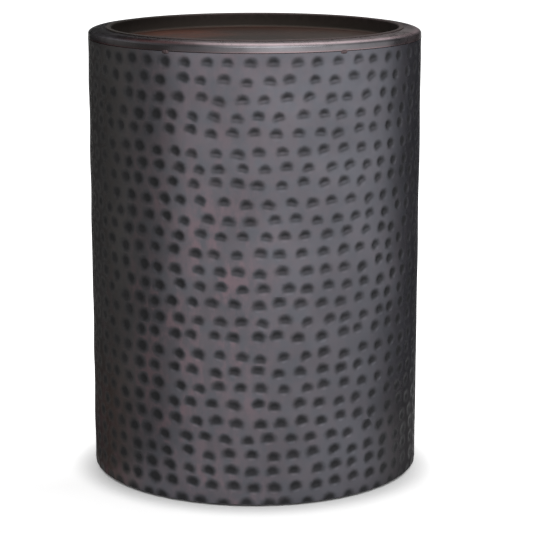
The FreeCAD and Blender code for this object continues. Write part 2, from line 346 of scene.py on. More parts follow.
class NodeSheet:
    """The nodes of a material or of the world, with short ways to add and link them."""

    def __init__(self, name: str, world: bool = False) -> None:
        """Starts an empty node tree.

        Args:
            name: Name of the material or the world.
            world: True for the world.
        """
        self.owner = (bpy.data.worlds if world else bpy.data.materials).new(name)
        self.owner.use_nodes = True
        self.tree = self.owner.node_tree
        self.tree.nodes.clear()
        self.output = self.tree.nodes.new("ShaderNodeOutputWorld" if world else "ShaderNodeOutputMaterial")
        self.place = self.tree.nodes.new("ShaderNodeTexCoord").outputs["Object"]

    def node(self, kind: str, **settings: str) -> bpy.types.Node:
        """Adds a node and sets its properties.

        Args:
            kind: The node's type.
            **settings: Properties by name.

        Returns:
            The new node.
        """
        made = self.tree.nodes.new(kind)
        for name, value in settings.items():
            setattr(made, name, value)
        return made

    def feed(self, socket: Socket, source: Value | Colour) -> None:
        """Links an output to a socket, or sets the socket to a plain value.

        Args:
            socket: The input socket.
            source: An output socket, a number or a colour.
        """
        if isinstance(source, Socket):
            self.tree.links.new(source, socket)
        elif isinstance(source, tuple):
            socket.default_value = (*source, 1.0)
        else:
            socket.default_value = source

    def attribute(self, name: str, output: str = "Fac") -> Socket:
        """A value that the mesh carries, as a number or as a vector."""
        return self.node("ShaderNodeAttribute", attribute_name=name).outputs[output]

    def noise(self, pattern: Noise, place: Socket | None = None) -> Socket:
        """A smooth random pattern.

        Args:
            pattern: Its measures.
            place: Coordinates to read it at, or None for the object's own.

        Returns:
            The pattern's socket, from 0 to 1.
        """
        made = self.node("ShaderNodeTexNoise", noise_dimensions="4D")
        self.feed(made.inputs["Vector"], self.place if place is None else place)
        made.inputs["W"].default_value = pattern.shift
        made.inputs["Scale"].default_value = 1.0 / pattern.size
        made.inputs["Detail"].default_value = pattern.detail
        made.inputs["Roughness"].default_value = pattern.roughness
        return made.outputs["Fac"]

    def band(self, source: Value, ramp: Ramp) -> Socket:
        """Maps a value through a ramp.

        Args:
            source: The value.
            ramp: The range, and what it is mapped onto.

        Returns:
            The result's socket.
        """
        made = self.node("ShaderNodeMapRange", interpolation_type="SMOOTHSTEP")
        for name, value in zip(("Value", "From Min", "From Max", "To Min", "To Max"), (source, *ramp)):
            self.feed(made.inputs[name], value)
        return made.outputs["Result"]

    def math(self, operation: str, *values: Value) -> Socket:
        """One arithmetic operation, carried on over two or more values.

        Args:
            operation: The operation's name.
            *values: Output sockets or numbers.

        Returns:
            The result's socket.
        """
        result = values[0]
        for value in values[1:]:
            made = self.node("ShaderNodeMath", operation=operation)
            self.feed(made.inputs[0], result)
            self.feed(made.inputs[1], value)
            result = made.outputs[0]
        return result

    def total(self, *values: Value) -> Socket:
        """The sum of the values."""
        return self.math("ADD", *values)

    def product(self, *values: Value) -> Socket:
        """The product of the values."""
        return self.math("MULTIPLY", *values)

    def rest(self, share: Value) -> Socket:
        """What a share leaves of 1."""
        return self.math("SUBTRACT", 1.0, share)

    def split(self, vector: Socket) -> bpy.types.bpy_prop_collection:
        """Takes a vector apart.

        Args:
            vector: The vector's socket.

        Returns:
            Its X, Y and Z outputs.
        """
        made = self.node("ShaderNodeSeparateXYZ")
        self.feed(made.inputs["Vector"], vector)
        return made.outputs

    def distance(
        self,
        place: Socket,
        middle: tuple[float, float] = (0.0, 0.0),
        half_width: float = 1.0,
        half_height: float = 1.0,
    ) -> Socket:
        """Distance from a middle, in half sizes of an oval or else in metres.

        Args:
            place: Coordinates, of which the third is left out.
            middle: Where the distance is 0, on the first two axes.
            half_width: Half the oval's size along the first axis.
            half_height: Half its size along the second.

        Returns:
            The distance's socket.
        """
        moved = self.node("ShaderNodeVectorMath", operation="SUBTRACT")
        self.feed(moved.inputs[0], place)
        moved.inputs[1].default_value = (*middle, 0.0)
        scaled = self.node("ShaderNodeVectorMath", operation="MULTIPLY")
        self.feed(scaled.inputs[0], moved.outputs["Vector"])
        scaled.inputs[1].default_value = (1 / half_width, 1 / half_height, 0.0)
        length = self.node("ShaderNodeVectorMath", operation="LENGTH")
        self.feed(length.inputs[0], scaled.outputs["Vector"])
        return length.outputs["Value"]

    def patch(self, place: Socket, oval: Oval, wobble: Value = 0.0) -> Socket:
        """An oval patch, whose edge the wobble makes uneven by shares of the patch's size."""
        distance = self.distance(place, oval.middle, oval.half_width, oval.half_height)
        return self.band(self.total(distance, wobble), oval.fade)

    def mix(self, share: Value, first: Socket | Colour, second: Socket | Colour) -> Socket:
        """Mixes two colours.

        Args:
            share: Share of the second colour.
            first: The first colour.
            second: The second colour.

        Returns:
            The mixed colour's socket.
        """
        made = self.node("ShaderNodeMix", data_type="RGBA")
        self.feed(made.inputs["Factor"], share)
        self.feed(made.inputs["A"], first)
        self.feed(made.inputs["B"], second)
        return made.outputs["Result"]

    def surface(
        self,
        colour: Socket,
        roughness: Socket,
        metallic: Value,
        relief: Noise | Socket,
        depth: float,
        tint: float = 1.0,
        sheen: float = 0.5,
    ) -> Material:
        """Ends the material in its surface shader.

        Args:
            colour: Base colour.
            roughness: Roughness.
            metallic: Share of metal.
            relief: Pattern of a fine relief.
            depth: Full height of that relief.
            tint: Strength of the reflection at a glancing angle.
            sheen: Strength of the reflection where it isn't metal.

        Returns:
            The finished material.
        """
        bump = self.node("ShaderNodeBump")
        bump.inputs["Distance"].default_value = depth
        bump.inputs["Strength"].default_value = 1.0
        self.feed(bump.inputs["Height"], relief if isinstance(relief, Socket) else self.noise(relief))
        shader = self.node("ShaderNodeBsdfPrincipled")
        self.feed(shader.inputs["Base Color"], colour)
        self.feed(shader.inputs["Roughness"], roughness)
        self.feed(shader.inputs["Metallic"], metallic)
        shader.inputs["Specular IOR Level"].default_value = sheen
        self.feed(shader.inputs["Specular Tint"], (tint, tint, tint))
        self.feed(shader.inputs["Normal"], bump.outputs["Normal"])
        self.feed(self.output.inputs["Surface"], shader.outputs["BSDF"])
        return self.owner


@dataclass(frozen=True)
class GunmetalSheet:
    """Waxed dark patina on the hammered sheet: worn on the lands, black in the hammer marks."""

    cool: Colour = (0.099, 0.100, 0.114)
    warm: Colour = (0.113, 0.102, 0.114)
    recess: Colour = (0.0225, 0.0225, 0.0240)
    rubbed: Colour = (0.165, 0.116, 0.132)
    olive: Colour = (0.118, 0.115, 0.112)  # the least rubbed land, on the left
    brown: Colour = (0.125, 0.096, 0.088)  # the same near the foot
    right_foot_shade: Colour = (0.080, 0.077, 0.080)  # painted shade near the foot on the right
    soot: Colour = (0.0, 0.0, 0.0)  # in faint clouds
    metallic: float = 0.90
    recess_metallic: float = 0.30
    sheen: float = 0.12
    glancing: float = 0.08

    cloud: Noise = Noise(0.055, 3.0, 0.55)
    grain: Noise = Noise(0.006, 3.0, 0.6, 3.0)
    tints: Noise = Noise(0.016, 3.0, 0.6, 5.0)
    rubs: Noise = Noise(0.11, 2.0, 0.5, 19.0)
    blots: Noise = Noise(0.014, 3.0, 0.6, 9.0)
    wobbles: Noise = Noise(0.0065, 2.0, 0.5, 13.0)
    pores: Noise = Noise(0.0012, 2.0, 0.5, 11.0)
    pore_depth: float = 0.03 * MM
    blot_stretch: tuple[float, float, float] = (1.0, 1.0, 0.4)
    grain_in_blots: float = 0.3

    # over the noises
    tint_spread: Ramp = Ramp(0.36, 0.64)
    cloud_spread: Ramp = Ramp(0.3, 0.7, 0.16, 0.0)
    rub_spread: Ramp = Ramp(0.40, 0.60, 0.35, 1.0)
    fleck_spread: Ramp = Ramp(0.55, 0.85)
    wobble_spread: Ramp = Ramp(0.2, 0.8, -0.09, 0.09)
    grain_roughness: Ramp = Ramp(0.2, 0.8, -0.03, 0.05)
    # over X, from the left to the right
    warm_side: Ramp = Ramp(0.0, 0.13, 0.9, 0.35)
    olive_side: Ramp = Ramp(-0.145, -0.095, 0.70, 0.0)
    brown_side: Ramp = Ramp(-0.155, -0.110, 0.85, 0.0)
    right_shade_side: Ramp = Ramp(0.105, 0.145, 0.0, 0.9)
    rub_start: Ramp = Ramp(-0.145, -0.105)
    rub_end: Ramp = Ramp(-0.025, 0.035, 1.0, 0.10)
    # over Z, from the foot up
    brown_foot: Ramp = Ramp(0.06, 0.17, 1.0, 0.0)
    right_shade_foot: Ramp = Ramp(0.06, 0.13, 1.0, 0.0)
    rub_foot: Ramp = Ramp(0.03, 0.14, 1.0, 0.25)
    rub_top: Ramp = Ramp(0.24, 0.38, 1.0, 0.35)
    # over the patina, from the land to a full mark
    rub_land: Ramp = Ramp(0.0, 0.5, 0.80, 0.0)
    mark_roughness: Ramp = Ramp(0.0, 1.0, 0.41, 0.48)

    mark: Oval = Oval((0.0, 0.0), 9.6 * MM, 8.4 * MM, Ramp(0.24, 1.0, 1.0, 0.0))
    # painted light on a mark's lower side and a painted reflection in its middle, which clear its patina
    lower_light: Oval = Oval((0.0, -7.0 * MM), 12.0 * MM, 5.4 * MM, Ramp(0.3, 1.0, 1.0, 0.0))
    middle_reflection: Oval = Oval((0.0, -1.2 * MM), 9.5 * MM, 2.9 * MM, Ramp(0.1, 1.0, 1.0, 0.0))

    def material(self) -> Material:
        """Builds the material.

        Returns:
            The material.
        """
        sheet = NodeSheet("gunmetal_sheet")
        filled = self._patina(sheet)
        grain = sheet.noise(self.grain)
        worn = sheet.mix(self._wear(sheet, grain, filled), self._land(sheet), self.rubbed)
        colour = sheet.mix(filled, worn, self.recess)
        metallic = sheet.total(self.metallic, sheet.product(filled, self.recess_metallic - self.metallic))
        roughness = sheet.band(filled, self.mark_roughness)
        roughness = sheet.total(roughness, sheet.band(grain, self.grain_roughness))
        pores, depth = self.pores, self.pore_depth
        return sheet.surface(colour, roughness, metallic, pores, depth, self.glancing, self.sheen)

    def _land(self, sheet: NodeSheet) -> Socket:
        """Colour of the land between the marks.

        Args:
            sheet: The material's nodes.

        Returns:
            The colour's socket.
        """
        across, _, height = sheet.split(sheet.place)
        tint = sheet.band(sheet.noise(self.tints), self.tint_spread)
        tint = sheet.product(tint, sheet.band(across, self.warm_side))
        land = sheet.mix(tint, self.cool, self.warm)
        land = sheet.mix(sheet.band(across, self.olive_side), land, self.olive)
        browned = sheet.product(sheet.band(across, self.brown_side), sheet.band(height, self.brown_foot))
        land = sheet.mix(browned, land, self.brown)
        # painted shade near the foot on the right
        painted_foot_shade = sheet.product(sheet.band(across, self.right_shade_side), sheet.band(height, self.right_shade_foot))
        land = sheet.mix(painted_foot_shade, land, self.right_foot_shade)
        return sheet.mix(sheet.band(sheet.noise(self.cloud), self.cloud_spread), land, self.soot)

    def _wear(self, sheet: NodeSheet, grain: Socket, filled: Socket) -> Socket:
        """Share of the pinkish rubs on the land.

        Args:
            sheet: The material's nodes.
            grain: Fine noise that breaks up the rubs.
            filled: Share of patina in the marks.

        Returns:
            The share's socket.
        """
        across, _, height = sheet.split(sheet.place)
        stretched = sheet.node("ShaderNodeMapping")
        stretched.inputs["Scale"].default_value = self.blot_stretch
        sheet.feed(stretched.inputs["Vector"], sheet.place)
        blot = sheet.noise(self.blots, stretched.outputs["Vector"])
        fleck = sheet.band(sheet.total(blot, sheet.product(grain, self.grain_in_blots)), self.fleck_spread)
        return sheet.product(
            sheet.band(sheet.noise(self.rubs), self.rub_spread),
            sheet.math("MAXIMUM", sheet.band(height, self.rub_foot), sheet.band(across, self.rub_start)),
            sheet.band(height, self.rub_top),
            fleck,
            sheet.band(across, self.rub_end),
            sheet.band(filled, self.rub_land),
        )

    def _patina(self, sheet: NodeSheet) -> Socket:
        """Share of black patina and painted shade in each mark's oval, with painted light below and in its
        middle.

        Args:
            sheet: The material's nodes.

        Returns:
            The share's socket, 0 on the land.
        """
        place = sheet.attribute(MARK_PLACE, "Vector")
        strength, lower, middle = sheet.split(sheet.attribute(MARK_PATINA_AND_LIGHT, "Vector"))
        wobble = sheet.band(sheet.noise(self.wobbles), self.wobble_spread)
        left = sheet.math("MINIMUM", sheet.product(sheet.patch(place, self.mark, wobble), strength), 1.0)
        for lit_patch, share in ((self.lower_light, lower), (self.middle_reflection, middle)):
            left = sheet.product(left, sheet.rest(sheet.product(sheet.patch(place, lit_patch, wobble), share)))
        return left


@dataclass(frozen=True)
class GunmetalRim:
    """The same patina on the smooth rim, rubbed to pinkish copper along its edges."""

    ledge_level: float
    band_bottom: float
    dark: Colour = (0.118, 0.115, 0.123)
    light: Colour = (0.178, 0.171, 0.182)
    # rubbed copper on the edge, lightened on the crest into a painted highlight
    rubbed: Colour = (0.790, 0.640, 0.670)
    shaded: Colour = (0.088, 0.080, 0.085)  # painted shade on the lower part of the band
    copper: Colour = (0.165, 0.105, 0.110)  # along the band's lower edge
    left_highlight: Colour = (0.200, 0.128, 0.130)  # the painted highlight on the edge, dimmer on the left
    ledge_reflection: Colour = (0.620, 0.550, 0.560)  # painted reflection on the ledge at the front and right
    rim_shade: Colour = (0.030, 0.028, 0.030)  # painted shade beside the edge and at the ledge's left
    metallic: float = 0.95
    glancing: float = 0.08

    cloud: Noise = Noise(0.030, 3.0, 0.55)
    grain: Noise = Noise(0.004, 3.0, 0.65, 5.0)
    pores: Noise = Noise(0.0015, 2.0, 0.5, 11.0)
    pore_depth: float = 0.03 * MM
    cloud_in_wear: float = 0.6

    # over the noises
    wear_spread: Ramp = Ramp(0.50, 1.05, 0.75, 1.0)
    cloud_roughness: Ramp = Ramp(0.25, 0.75, 0.24, 0.31)
    grain_roughness: Ramp = Ramp(0.2, 0.8, -0.02, 0.05)
    # over Z, from the band's lower edge, and the last one from the ledge
    shaded_band: Ramp = Ramp(0.0, 5.0 * MM, 0.75, 0.0)
    copper_edge: Ramp = Ramp(0.0, 1.8 * MM, 0.85, 0.0)
    on_ledge: Ramp = Ramp(-1.5 * MM, -0.2 * MM)
    # over X, from the left to the right
    # painted highlight at the band's right end
    right_end_light: Ramp = Ramp(0.135, 0.158, 0.0, 0.20)
    # where the edge's wear and painted highlight fade out towards the left
    edge_highlight_side: Ramp = Ramp(-0.125, -0.020)
    # painted shade on the band at the left and at its right end
    left_start: Ramp = Ramp(-0.155, -0.085, 0.0, 0.93)
    left_end: Ramp = Ramp(-0.070, 0.020, 1.0, 0.0)
    right_start: Ramp = Ramp(0.030, 0.130, 0.0, 0.50)
    right_end: Ramp = Ramp(0.135, 0.155, 1.0, 0.0)
    # painted shade on the ledge at the left
    ledge_shade_side: Ramp = Ramp(-0.160, -0.110, 0.60, 0.0)
    reflection_side: Ramp = Ramp(-0.140, 0.0, 0.10, 1.0)
    left_highlight_start: Ramp = Ramp(-0.145, -0.105, 0.0, 0.60)
    left_highlight_end: Ramp = Ramp(-0.100, -0.020, 1.0, 0.0)
    # over Y, from the front to the back
    reflection_front: Ramp = Ramp(-0.050, 0.050, 1.0, 0.0)
    # over the wear along the edge
    off_wear: Ramp = Ramp(0.0, 1.0, 1.0, 0.4)
    off_edge: Ramp = Ramp(0.0, 0.5, 1.0, 0.0)

    def material(self) -> Material:
        """Builds the material.

        Returns:
            The material.
        """
        sheet = NodeSheet("gunmetal_rim")
        edge = sheet.attribute(EDGE_WEAR_AND_HIGHLIGHT)
        cloud, grain = sheet.noise(self.cloud), sheet.noise(self.grain)
        across, along, height = sheet.split(sheet.place)
        ledge = sheet.band(height, self.on_ledge.above(self.ledge_level))
        broken = sheet.band(sheet.total(grain, sheet.product(cloud, self.cloud_in_wear)), self.wear_spread)
        # wear along the edges, and a painted highlight on the crest
        wear = sheet.product(edge, broken, sheet.band(across, self.edge_highlight_side))

        colour = sheet.mix(sheet.band(cloud, SPREAD), self.dark, self.light)
        for ramp, shade in ((self.shaded_band, self.shaded), (self.copper_edge, self.copper)):
            colour = sheet.mix(sheet.band(height, ramp.above(self.band_bottom)), colour, shade)
        colour = sheet.mix(sheet.band(across, self.right_end_light), colour, self.rubbed)
        colour = sheet.mix(wear, colour, self.rubbed)
        # painted reflection on the ledge at the front and right
        bright = sheet.product(ledge, sheet.band(across, self.reflection_side))
        bright = sheet.product(bright, sheet.band(along, self.reflection_front))
        colour = sheet.mix(bright, colour, self.ledge_reflection)
        # painted shade on the band's sides and the ledge's left
        colour = sheet.mix(self._rim_shade(sheet, across, ledge, wear, edge), colour, self.rim_shade)
        # dimmer painted highlight on the edge at the left
        left_highlight_share = sheet.product(edge, sheet.band(across, self.left_highlight_start), sheet.band(across, self.left_highlight_end))
        colour = sheet.mix(left_highlight_share, colour, self.left_highlight)

        roughness = sheet.band(cloud, self.cloud_roughness)
        roughness = sheet.total(roughness, sheet.band(grain, self.grain_roughness))
        return sheet.surface(colour, roughness, self.metallic, self.pores, self.pore_depth, self.glancing)

    def _rim_shade(
        self,
        sheet: NodeSheet,
        across: Socket,
        ledge: Socket,
        wear: Socket,
        edge: Socket,
    ) -> Socket:
        """Share of painted shade on the band's left and right end and on the ledge's left.

        Args:
            sheet: The material's nodes.
            across: The X coordinate.
            ledge: 1 on the flat ledge.
            wear: Share of rubbed metal and painted highlight along the edge.
            edge: How near the edge is.

        Returns:
            The share's socket.
        """
        beside = sheet.rest(ledge)
        left = sheet.product(
            sheet.band(across, self.left_start),
            sheet.band(across, self.left_end),
            sheet.band(wear, self.off_wear),
            beside,
        )
        right = sheet.product(
            sheet.band(across, self.right_start),
            sheet.band(edge, self.off_edge),
            beside,
            sheet.band(across, self.right_end),
        )
        dull = sheet.product(ledge, sheet.band(across, self.ledge_shade_side))
        return sheet.math("MAXIMUM", left, dull, right)


@dataclass(frozen=True)
class TrayPatina:
    """Darker, browner and duller patina in the tray, with reddish clouds."""

    floor_level: float
    lip_level: float
    brown: Colour = (0.047, 0.036, 0.031)
    grey: Colour = (0.031, 0.029, 0.026)
    red: Colour = (0.150, 0.056, 0.036)
    # painted highlight along the lip, brighter towards the right
    lip: Colour = (0.058, 0.048, 0.047)
    # painted shade on the inner wall, and painted light near its foot against the shade in the corner
    wall: Colour = (0.018, 0.015, 0.013)
    wall_foot: Colour = (0.037, 0.031, 0.027)
    lighter: Colour = (0.078, 0.064, 0.057)  # towards the right
    # rubbed wear on the lip, with painted highlight
    rubbed: Colour = (0.150, 0.108, 0.105)
    metallic: float = 0.55
    glancing: float = 0.10

    cloud: Noise = Noise(0.060, 4.0, 0.6)
    grain: Noise = Noise(0.005, 3.0, 0.6, 4.0)
    turning: Noise = Noise(0.009, 3.0, 0.7)  # marks of the turning tool, in rings
    pores: Noise = Noise(0.0020, 3.0, 0.6, 2.0)
    pore_depth: float = 0.05 * MM
    cloud_in_rings: float = 0.02
    bloom: Oval = Oval((-75 * MM, 72 * MM), 70 * MM, 70 * MM, Ramp(0.3, 1.0, 1.0, 0.12))

    # over the noises
    ring_spread: Ramp = Ramp(0.32, 0.68)
    bloom_rings: Ramp = Ramp(0.35, 0.66, 0.15, 0.9)
    warm_rings: Ramp = Ramp(0.3, 0.6, 0.4, 1.0)
    wear_spread: Ramp = Ramp(0.3, 0.7, 0.25, 1.0)
    cloud_roughness: Ramp = Ramp(0.25, 0.75, 0.44, 0.60)
    grain_roughness: Ramp = Ramp(0.2, 0.8, -0.04, 0.06)
    # over X, from the left to the right, and the second one over Y, from the front to the back
    lighter_side: Ramp = Ramp(0.010, 0.120, 0.0, 0.6)
    warm_back: Ramp = Ramp(0.0, 0.13, 0.0, 0.25)
    # the lip's painted highlight and wear grow towards the right
    lip_side: Ramp = Ramp(-0.150, -0.060)
    lit_side: Ramp = Ramp(-0.150, -0.030, 0.0, 0.5)
    # over Z, from the floor, and the last one from the lip
    on_wall: Ramp = Ramp(0.0, 2.5 * MM)
    up_wall: Ramp = Ramp(1 * MM, 14 * MM)
    on_lip: Ramp = Ramp(-1.6 * MM, -0.6 * MM)

    def material(self) -> Material:
        """Builds the material.

        Returns:
            The material.
        """
        sheet = NodeSheet("tray_patina")
        cloud, grain = sheet.noise(self.cloud), sheet.noise(self.grain)
        across, along, height = sheet.split(sheet.place)
        place = sheet.node("ShaderNodeCombineXYZ")
        sheet.feed(place.inputs["X"], sheet.distance(sheet.place))
        sheet.feed(place.inputs["Y"], sheet.product(cloud, self.cloud_in_rings))
        rings = sheet.noise(self.turning, place.outputs["Vector"])

        colour = sheet.mix(sheet.band(rings, self.ring_spread), self.grey, self.brown)
        colour = sheet.mix(sheet.band(across, self.lighter_side), colour, self.lighter)
        bloom = sheet.product(sheet.patch(sheet.place, self.bloom), sheet.band(rings, self.bloom_rings))
        warmth = sheet.product(sheet.band(along, self.warm_back), sheet.band(rings, self.warm_rings))
        colour = sheet.mix(sheet.math("MAXIMUM", bloom, warmth), colour, self.red)

        # painted shade on the inner wall, lighter near its foot
        wall = sheet.mix(sheet.band(height, self.up_wall.above(self.floor_level)), self.wall_foot, self.wall)
        # painted highlight along the lip
        lip = sheet.mix(sheet.band(across, self.lip_side), self.wall_foot, self.lip)
        wall = sheet.mix(sheet.band(height, self.on_lip.above(self.lip_level)), wall, lip)
        colour = sheet.mix(sheet.band(height, self.on_wall.above(self.floor_level)), colour, wall)
        broken = sheet.band(grain, self.wear_spread)
        wear = sheet.product(sheet.attribute(EDGE_WEAR_AND_HIGHLIGHT), broken, sheet.band(across, self.lit_side))
        colour = sheet.mix(wear, colour, self.rubbed)

        roughness = sheet.band(cloud, self.cloud_roughness)
        roughness = sheet.total(roughness, sheet.band(grain, self.grain_roughness))
        return sheet.surface(colour, roughness, self.metallic, self.pores, self.pore_depth, self.glancing)


@dataclass(frozen=True)
class CopperTack:
    """Ground-back weld metal of the tacks, rubbed to a pinkish copper."""

    dark: Colour = (0.050, 0.037, 0.039)
    bright: Colour = (0.085, 0.061, 0.065)
    metallic: float = 0.9
    grain: Noise = Noise(0.0016, 3.0, 0.6)
    roughness: Ramp = Ramp(0.2, 0.8, 0.42, 0.30)
    relief: float = 0.08 * MM

    def material(self) -> Material:
        """Builds the material.

        Returns:
            The material.
        """
        sheet = NodeSheet("copper_tack")
        grain = sheet.noise(self.grain)
        colour = sheet.mix(sheet.band(grain, SPREAD), self.dark, self.bright)
        return sheet.surface(colour, sheet.band(grain, self.roughness), self.metallic, grain, self.relief)


@dataclass(frozen=True)
class WeldMetal:
    """Bare weld metal with heat tint, which the drum's patina covers on the outside."""

    dark: Colour = (0.060, 0.055, 0.055)
    bright: Colour = (0.300, 0.280, 0.265)
    heat: Colour = (0.110, 0.075, 0.100)
    patina: Colour = (0.085, 0.078, 0.086)
    metallic: float = 0.9
    heat_strength: float = 0.7
    grain: Noise = Noise(0.0022, 4.0, 0.65)
    tints: Noise = Noise(0.012, 2.0, 0.5, 6.0)
    grain_spread: Ramp = Ramp(0.30, 0.72)
    tint_spread: Ramp = Ramp(0.45, 0.65)
    cover_spread: Ramp = Ramp(0.55, 0.80, 0.96, 0.6)
    roughness: Ramp = Ramp(0.2, 0.8, 0.58, 0.34)
    relief: float = 0.10 * MM

    def material(self) -> Material:
        """Builds the material.

        Returns:
            The material.
        """
        sheet = NodeSheet("weld_metal")
        grain = sheet.noise(self.grain)
        colour = sheet.mix(sheet.band(grain, self.grain_spread), self.dark, self.bright)
        tint = sheet.band(sheet.noise(self.tints), self.tint_spread)
        colour = sheet.mix(sheet.product(tint, self.heat_strength), colour, self.heat)
        covered = sheet.product(sheet.attribute(PATINA_COVER), sheet.band(grain, self.cover_spread))
        colour = sheet.mix(covered, colour, self.patina)
        return sheet.surface(colour, sheet.band(grain, self.roughness), self.metallic, grain, self.relief)


@dataclass(frozen=True)
class BlackBar:
    """Black mill scale on the bars and the base ring, with a brown bloom here and there."""

    scale: Colour = (0.020, 0.021, 0.024)
    worn: Colour = (0.055, 0.055, 0.058)
    rusted: Colour = (0.075, 0.040, 0.026)
    metallic: float = 0.5
    cloud: Noise = Noise(0.018, 4.0, 0.6)
    grain: Noise = Noise(0.0030, 3.0, 0.6, 2.0)
    worn_spread: Ramp = Ramp(0.35, 0.7)
    rust_areas: Ramp = Ramp(0.56, 0.70)
    rust_specks: Ramp = Ramp(0.4, 0.6)
    roughness: Ramp = Ramp(0.25, 0.75, 0.48, 0.72)
    relief: float = 0.06 * MM

    def material(self) -> Material:
        """Builds the material.

        Returns:
            The material.
        """
        sheet = NodeSheet("black_bar")
        cloud, grain = sheet.noise(self.cloud), sheet.noise(self.grain)
        colour = sheet.mix(sheet.band(grain, self.worn_spread), self.scale, self.worn)
        bloom = sheet.product(sheet.band(cloud, self.rust_areas), sheet.band(grain, self.rust_specks))
        colour = sheet.mix(bloom, colour, self.rusted)
        return sheet.surface(colour, sheet.band(cloud, self.roughness), self.metallic, grain, self.relief)


@dataclass(frozen=True)
class GlidePlastic:
    """Moulded black nylon, scuffed and dusty where it stands on the floor."""

    fresh: Colour = (0.022, 0.022, 0.023)
    scuffed: Colour = (0.060, 0.057, 0.053)
    metallic: float = 0.0
    scratches: Noise = Noise(0.0035, 5.0, 0.7)
    pores: Noise = Noise(0.0006, 2.0, 0.5)
    scratch_spread: Ramp = Ramp(0.40, 0.62)
    near_floor: Ramp = Ramp(0.0, 1.6 * MM, 1.0, 0.0)
    roughness: Ramp = Ramp(0.3, 0.7, 0.42, 0.56)
    relief: float = 0.02 * MM

    def material(self) -> Material:
        """Builds the material.

        Returns:
            The material.
        """
        sheet = NodeSheet("glide_plastic")
        height = sheet.split(sheet.place)["Z"]
        scratch = sheet.noise(self.scratches)
        scuff = sheet.product(sheet.band(height, self.near_floor), sheet.band(scratch, self.scratch_spread))
        colour = sheet.mix(scuff, self.fresh, self.scuffed)
        roughness = sheet.band(scratch, self.roughness)
        return sheet.surface(colour, roughness, self.metallic, self.pores, self.relief)


@dataclass(frozen=True)
class ZincFastener:
    """Bright zinc plating with faint spangle and fingerprints."""

    dull: Colour = (0.36, 0.37, 0.39)
    bright: Colour = (0.62, 0.63, 0.65)
    metallic: float = 1.0
    spangle: Noise = Noise(0.0040, 4.0, 0.6)
    pores: Noise = Noise(0.0007, 2.0, 0.5, 3.0)
    roughness: Ramp = Ramp(0.2, 0.8, 0.26, 0.42)
    relief: float = 0.02 * MM

    def material(self) -> Material:
        """Builds the material.

        Returns:
            The material.
        """
        sheet = NodeSheet("zinc_fastener")
        spangle = sheet.noise(self.spangle)
        colour = sheet.mix(sheet.band(spangle, SPREAD), self.dull, self.bright)
        roughness = sheet.band(spangle, self.roughness)
        return sheet.surface(colour, roughness, self.metallic, self.pores, self.relief)


class Slot(Enum):
    """The record's material slots."""

    SHEET = "gunmetal_sheet"
    RIM = "gunmetal_rim"
    TRAY = "tray_metal"
    TACK = "copper_tack"
    WELD = "weld_metal"
    BAR = "black_bar"
    GLIDE = "glide_plastic"
    ZINC = "zinc_fastener"


@dataclass
class Finishes:
    """The table's finishes, one material for each slot."""

    sizes: TableSizes
    materials: dict[Slot, Material] = field(init=False)

    def __post_init__(self) -> None:
        """Builds every material once."""
        kinds = {
            Slot.SHEET: GunmetalSheet(),
            Slot.RIM: GunmetalRim(self.sizes.rim_height, self.sizes.band_bottom),
            Slot.TRAY: TrayPatina(self.sizes.tray_underside + PAN_THICKNESS, self.sizes.lip_top),
            Slot.TACK: CopperTack(),
            Slot.WELD: WeldMetal(),
            Slot.BAR: BlackBar(),
            Slot.GLIDE: GlidePlastic(),
            Slot.ZINC: ZincFastener(),
        }
        self.materials = {slot: kind.material() for slot, kind in kinds.items()}

    def dress(self, piece: Object, slot: Slot) -> None:
        """Gives a piece its slot's material.

        Args:
            piece: The mesh object.
            slot: The slot that it takes its finish from.
        """
        piece.data.materials.clear()
        piece.data.materials.append(self.materials[slot])

    def fit(self, piece: Object, slot: Slot, *nodes: str) -> None:
        """Dresses a new piece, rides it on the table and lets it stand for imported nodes.

        Args:
            piece: The mesh object, in place.
            slot: The slot that it takes its finish from.
            *nodes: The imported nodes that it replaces.
        """
        self.dress(piece, slot)
        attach(piece, ROOT_BODY)
        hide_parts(*nodes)
        LOG.info("%s: %d faces for %s", piece.name, len(piece.data.polygons), ", ".join(nodes))

    def keep(self, node: str, slot: Slot) -> None:
        """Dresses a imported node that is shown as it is.

        Args:
            node: The node's name.
            slot: The slot that it takes its finish from.
        """
        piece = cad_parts[node]
        self.dress(piece, slot)
        LOG.info("%s: kept, %d faces", node, len(piece.data.polygons))


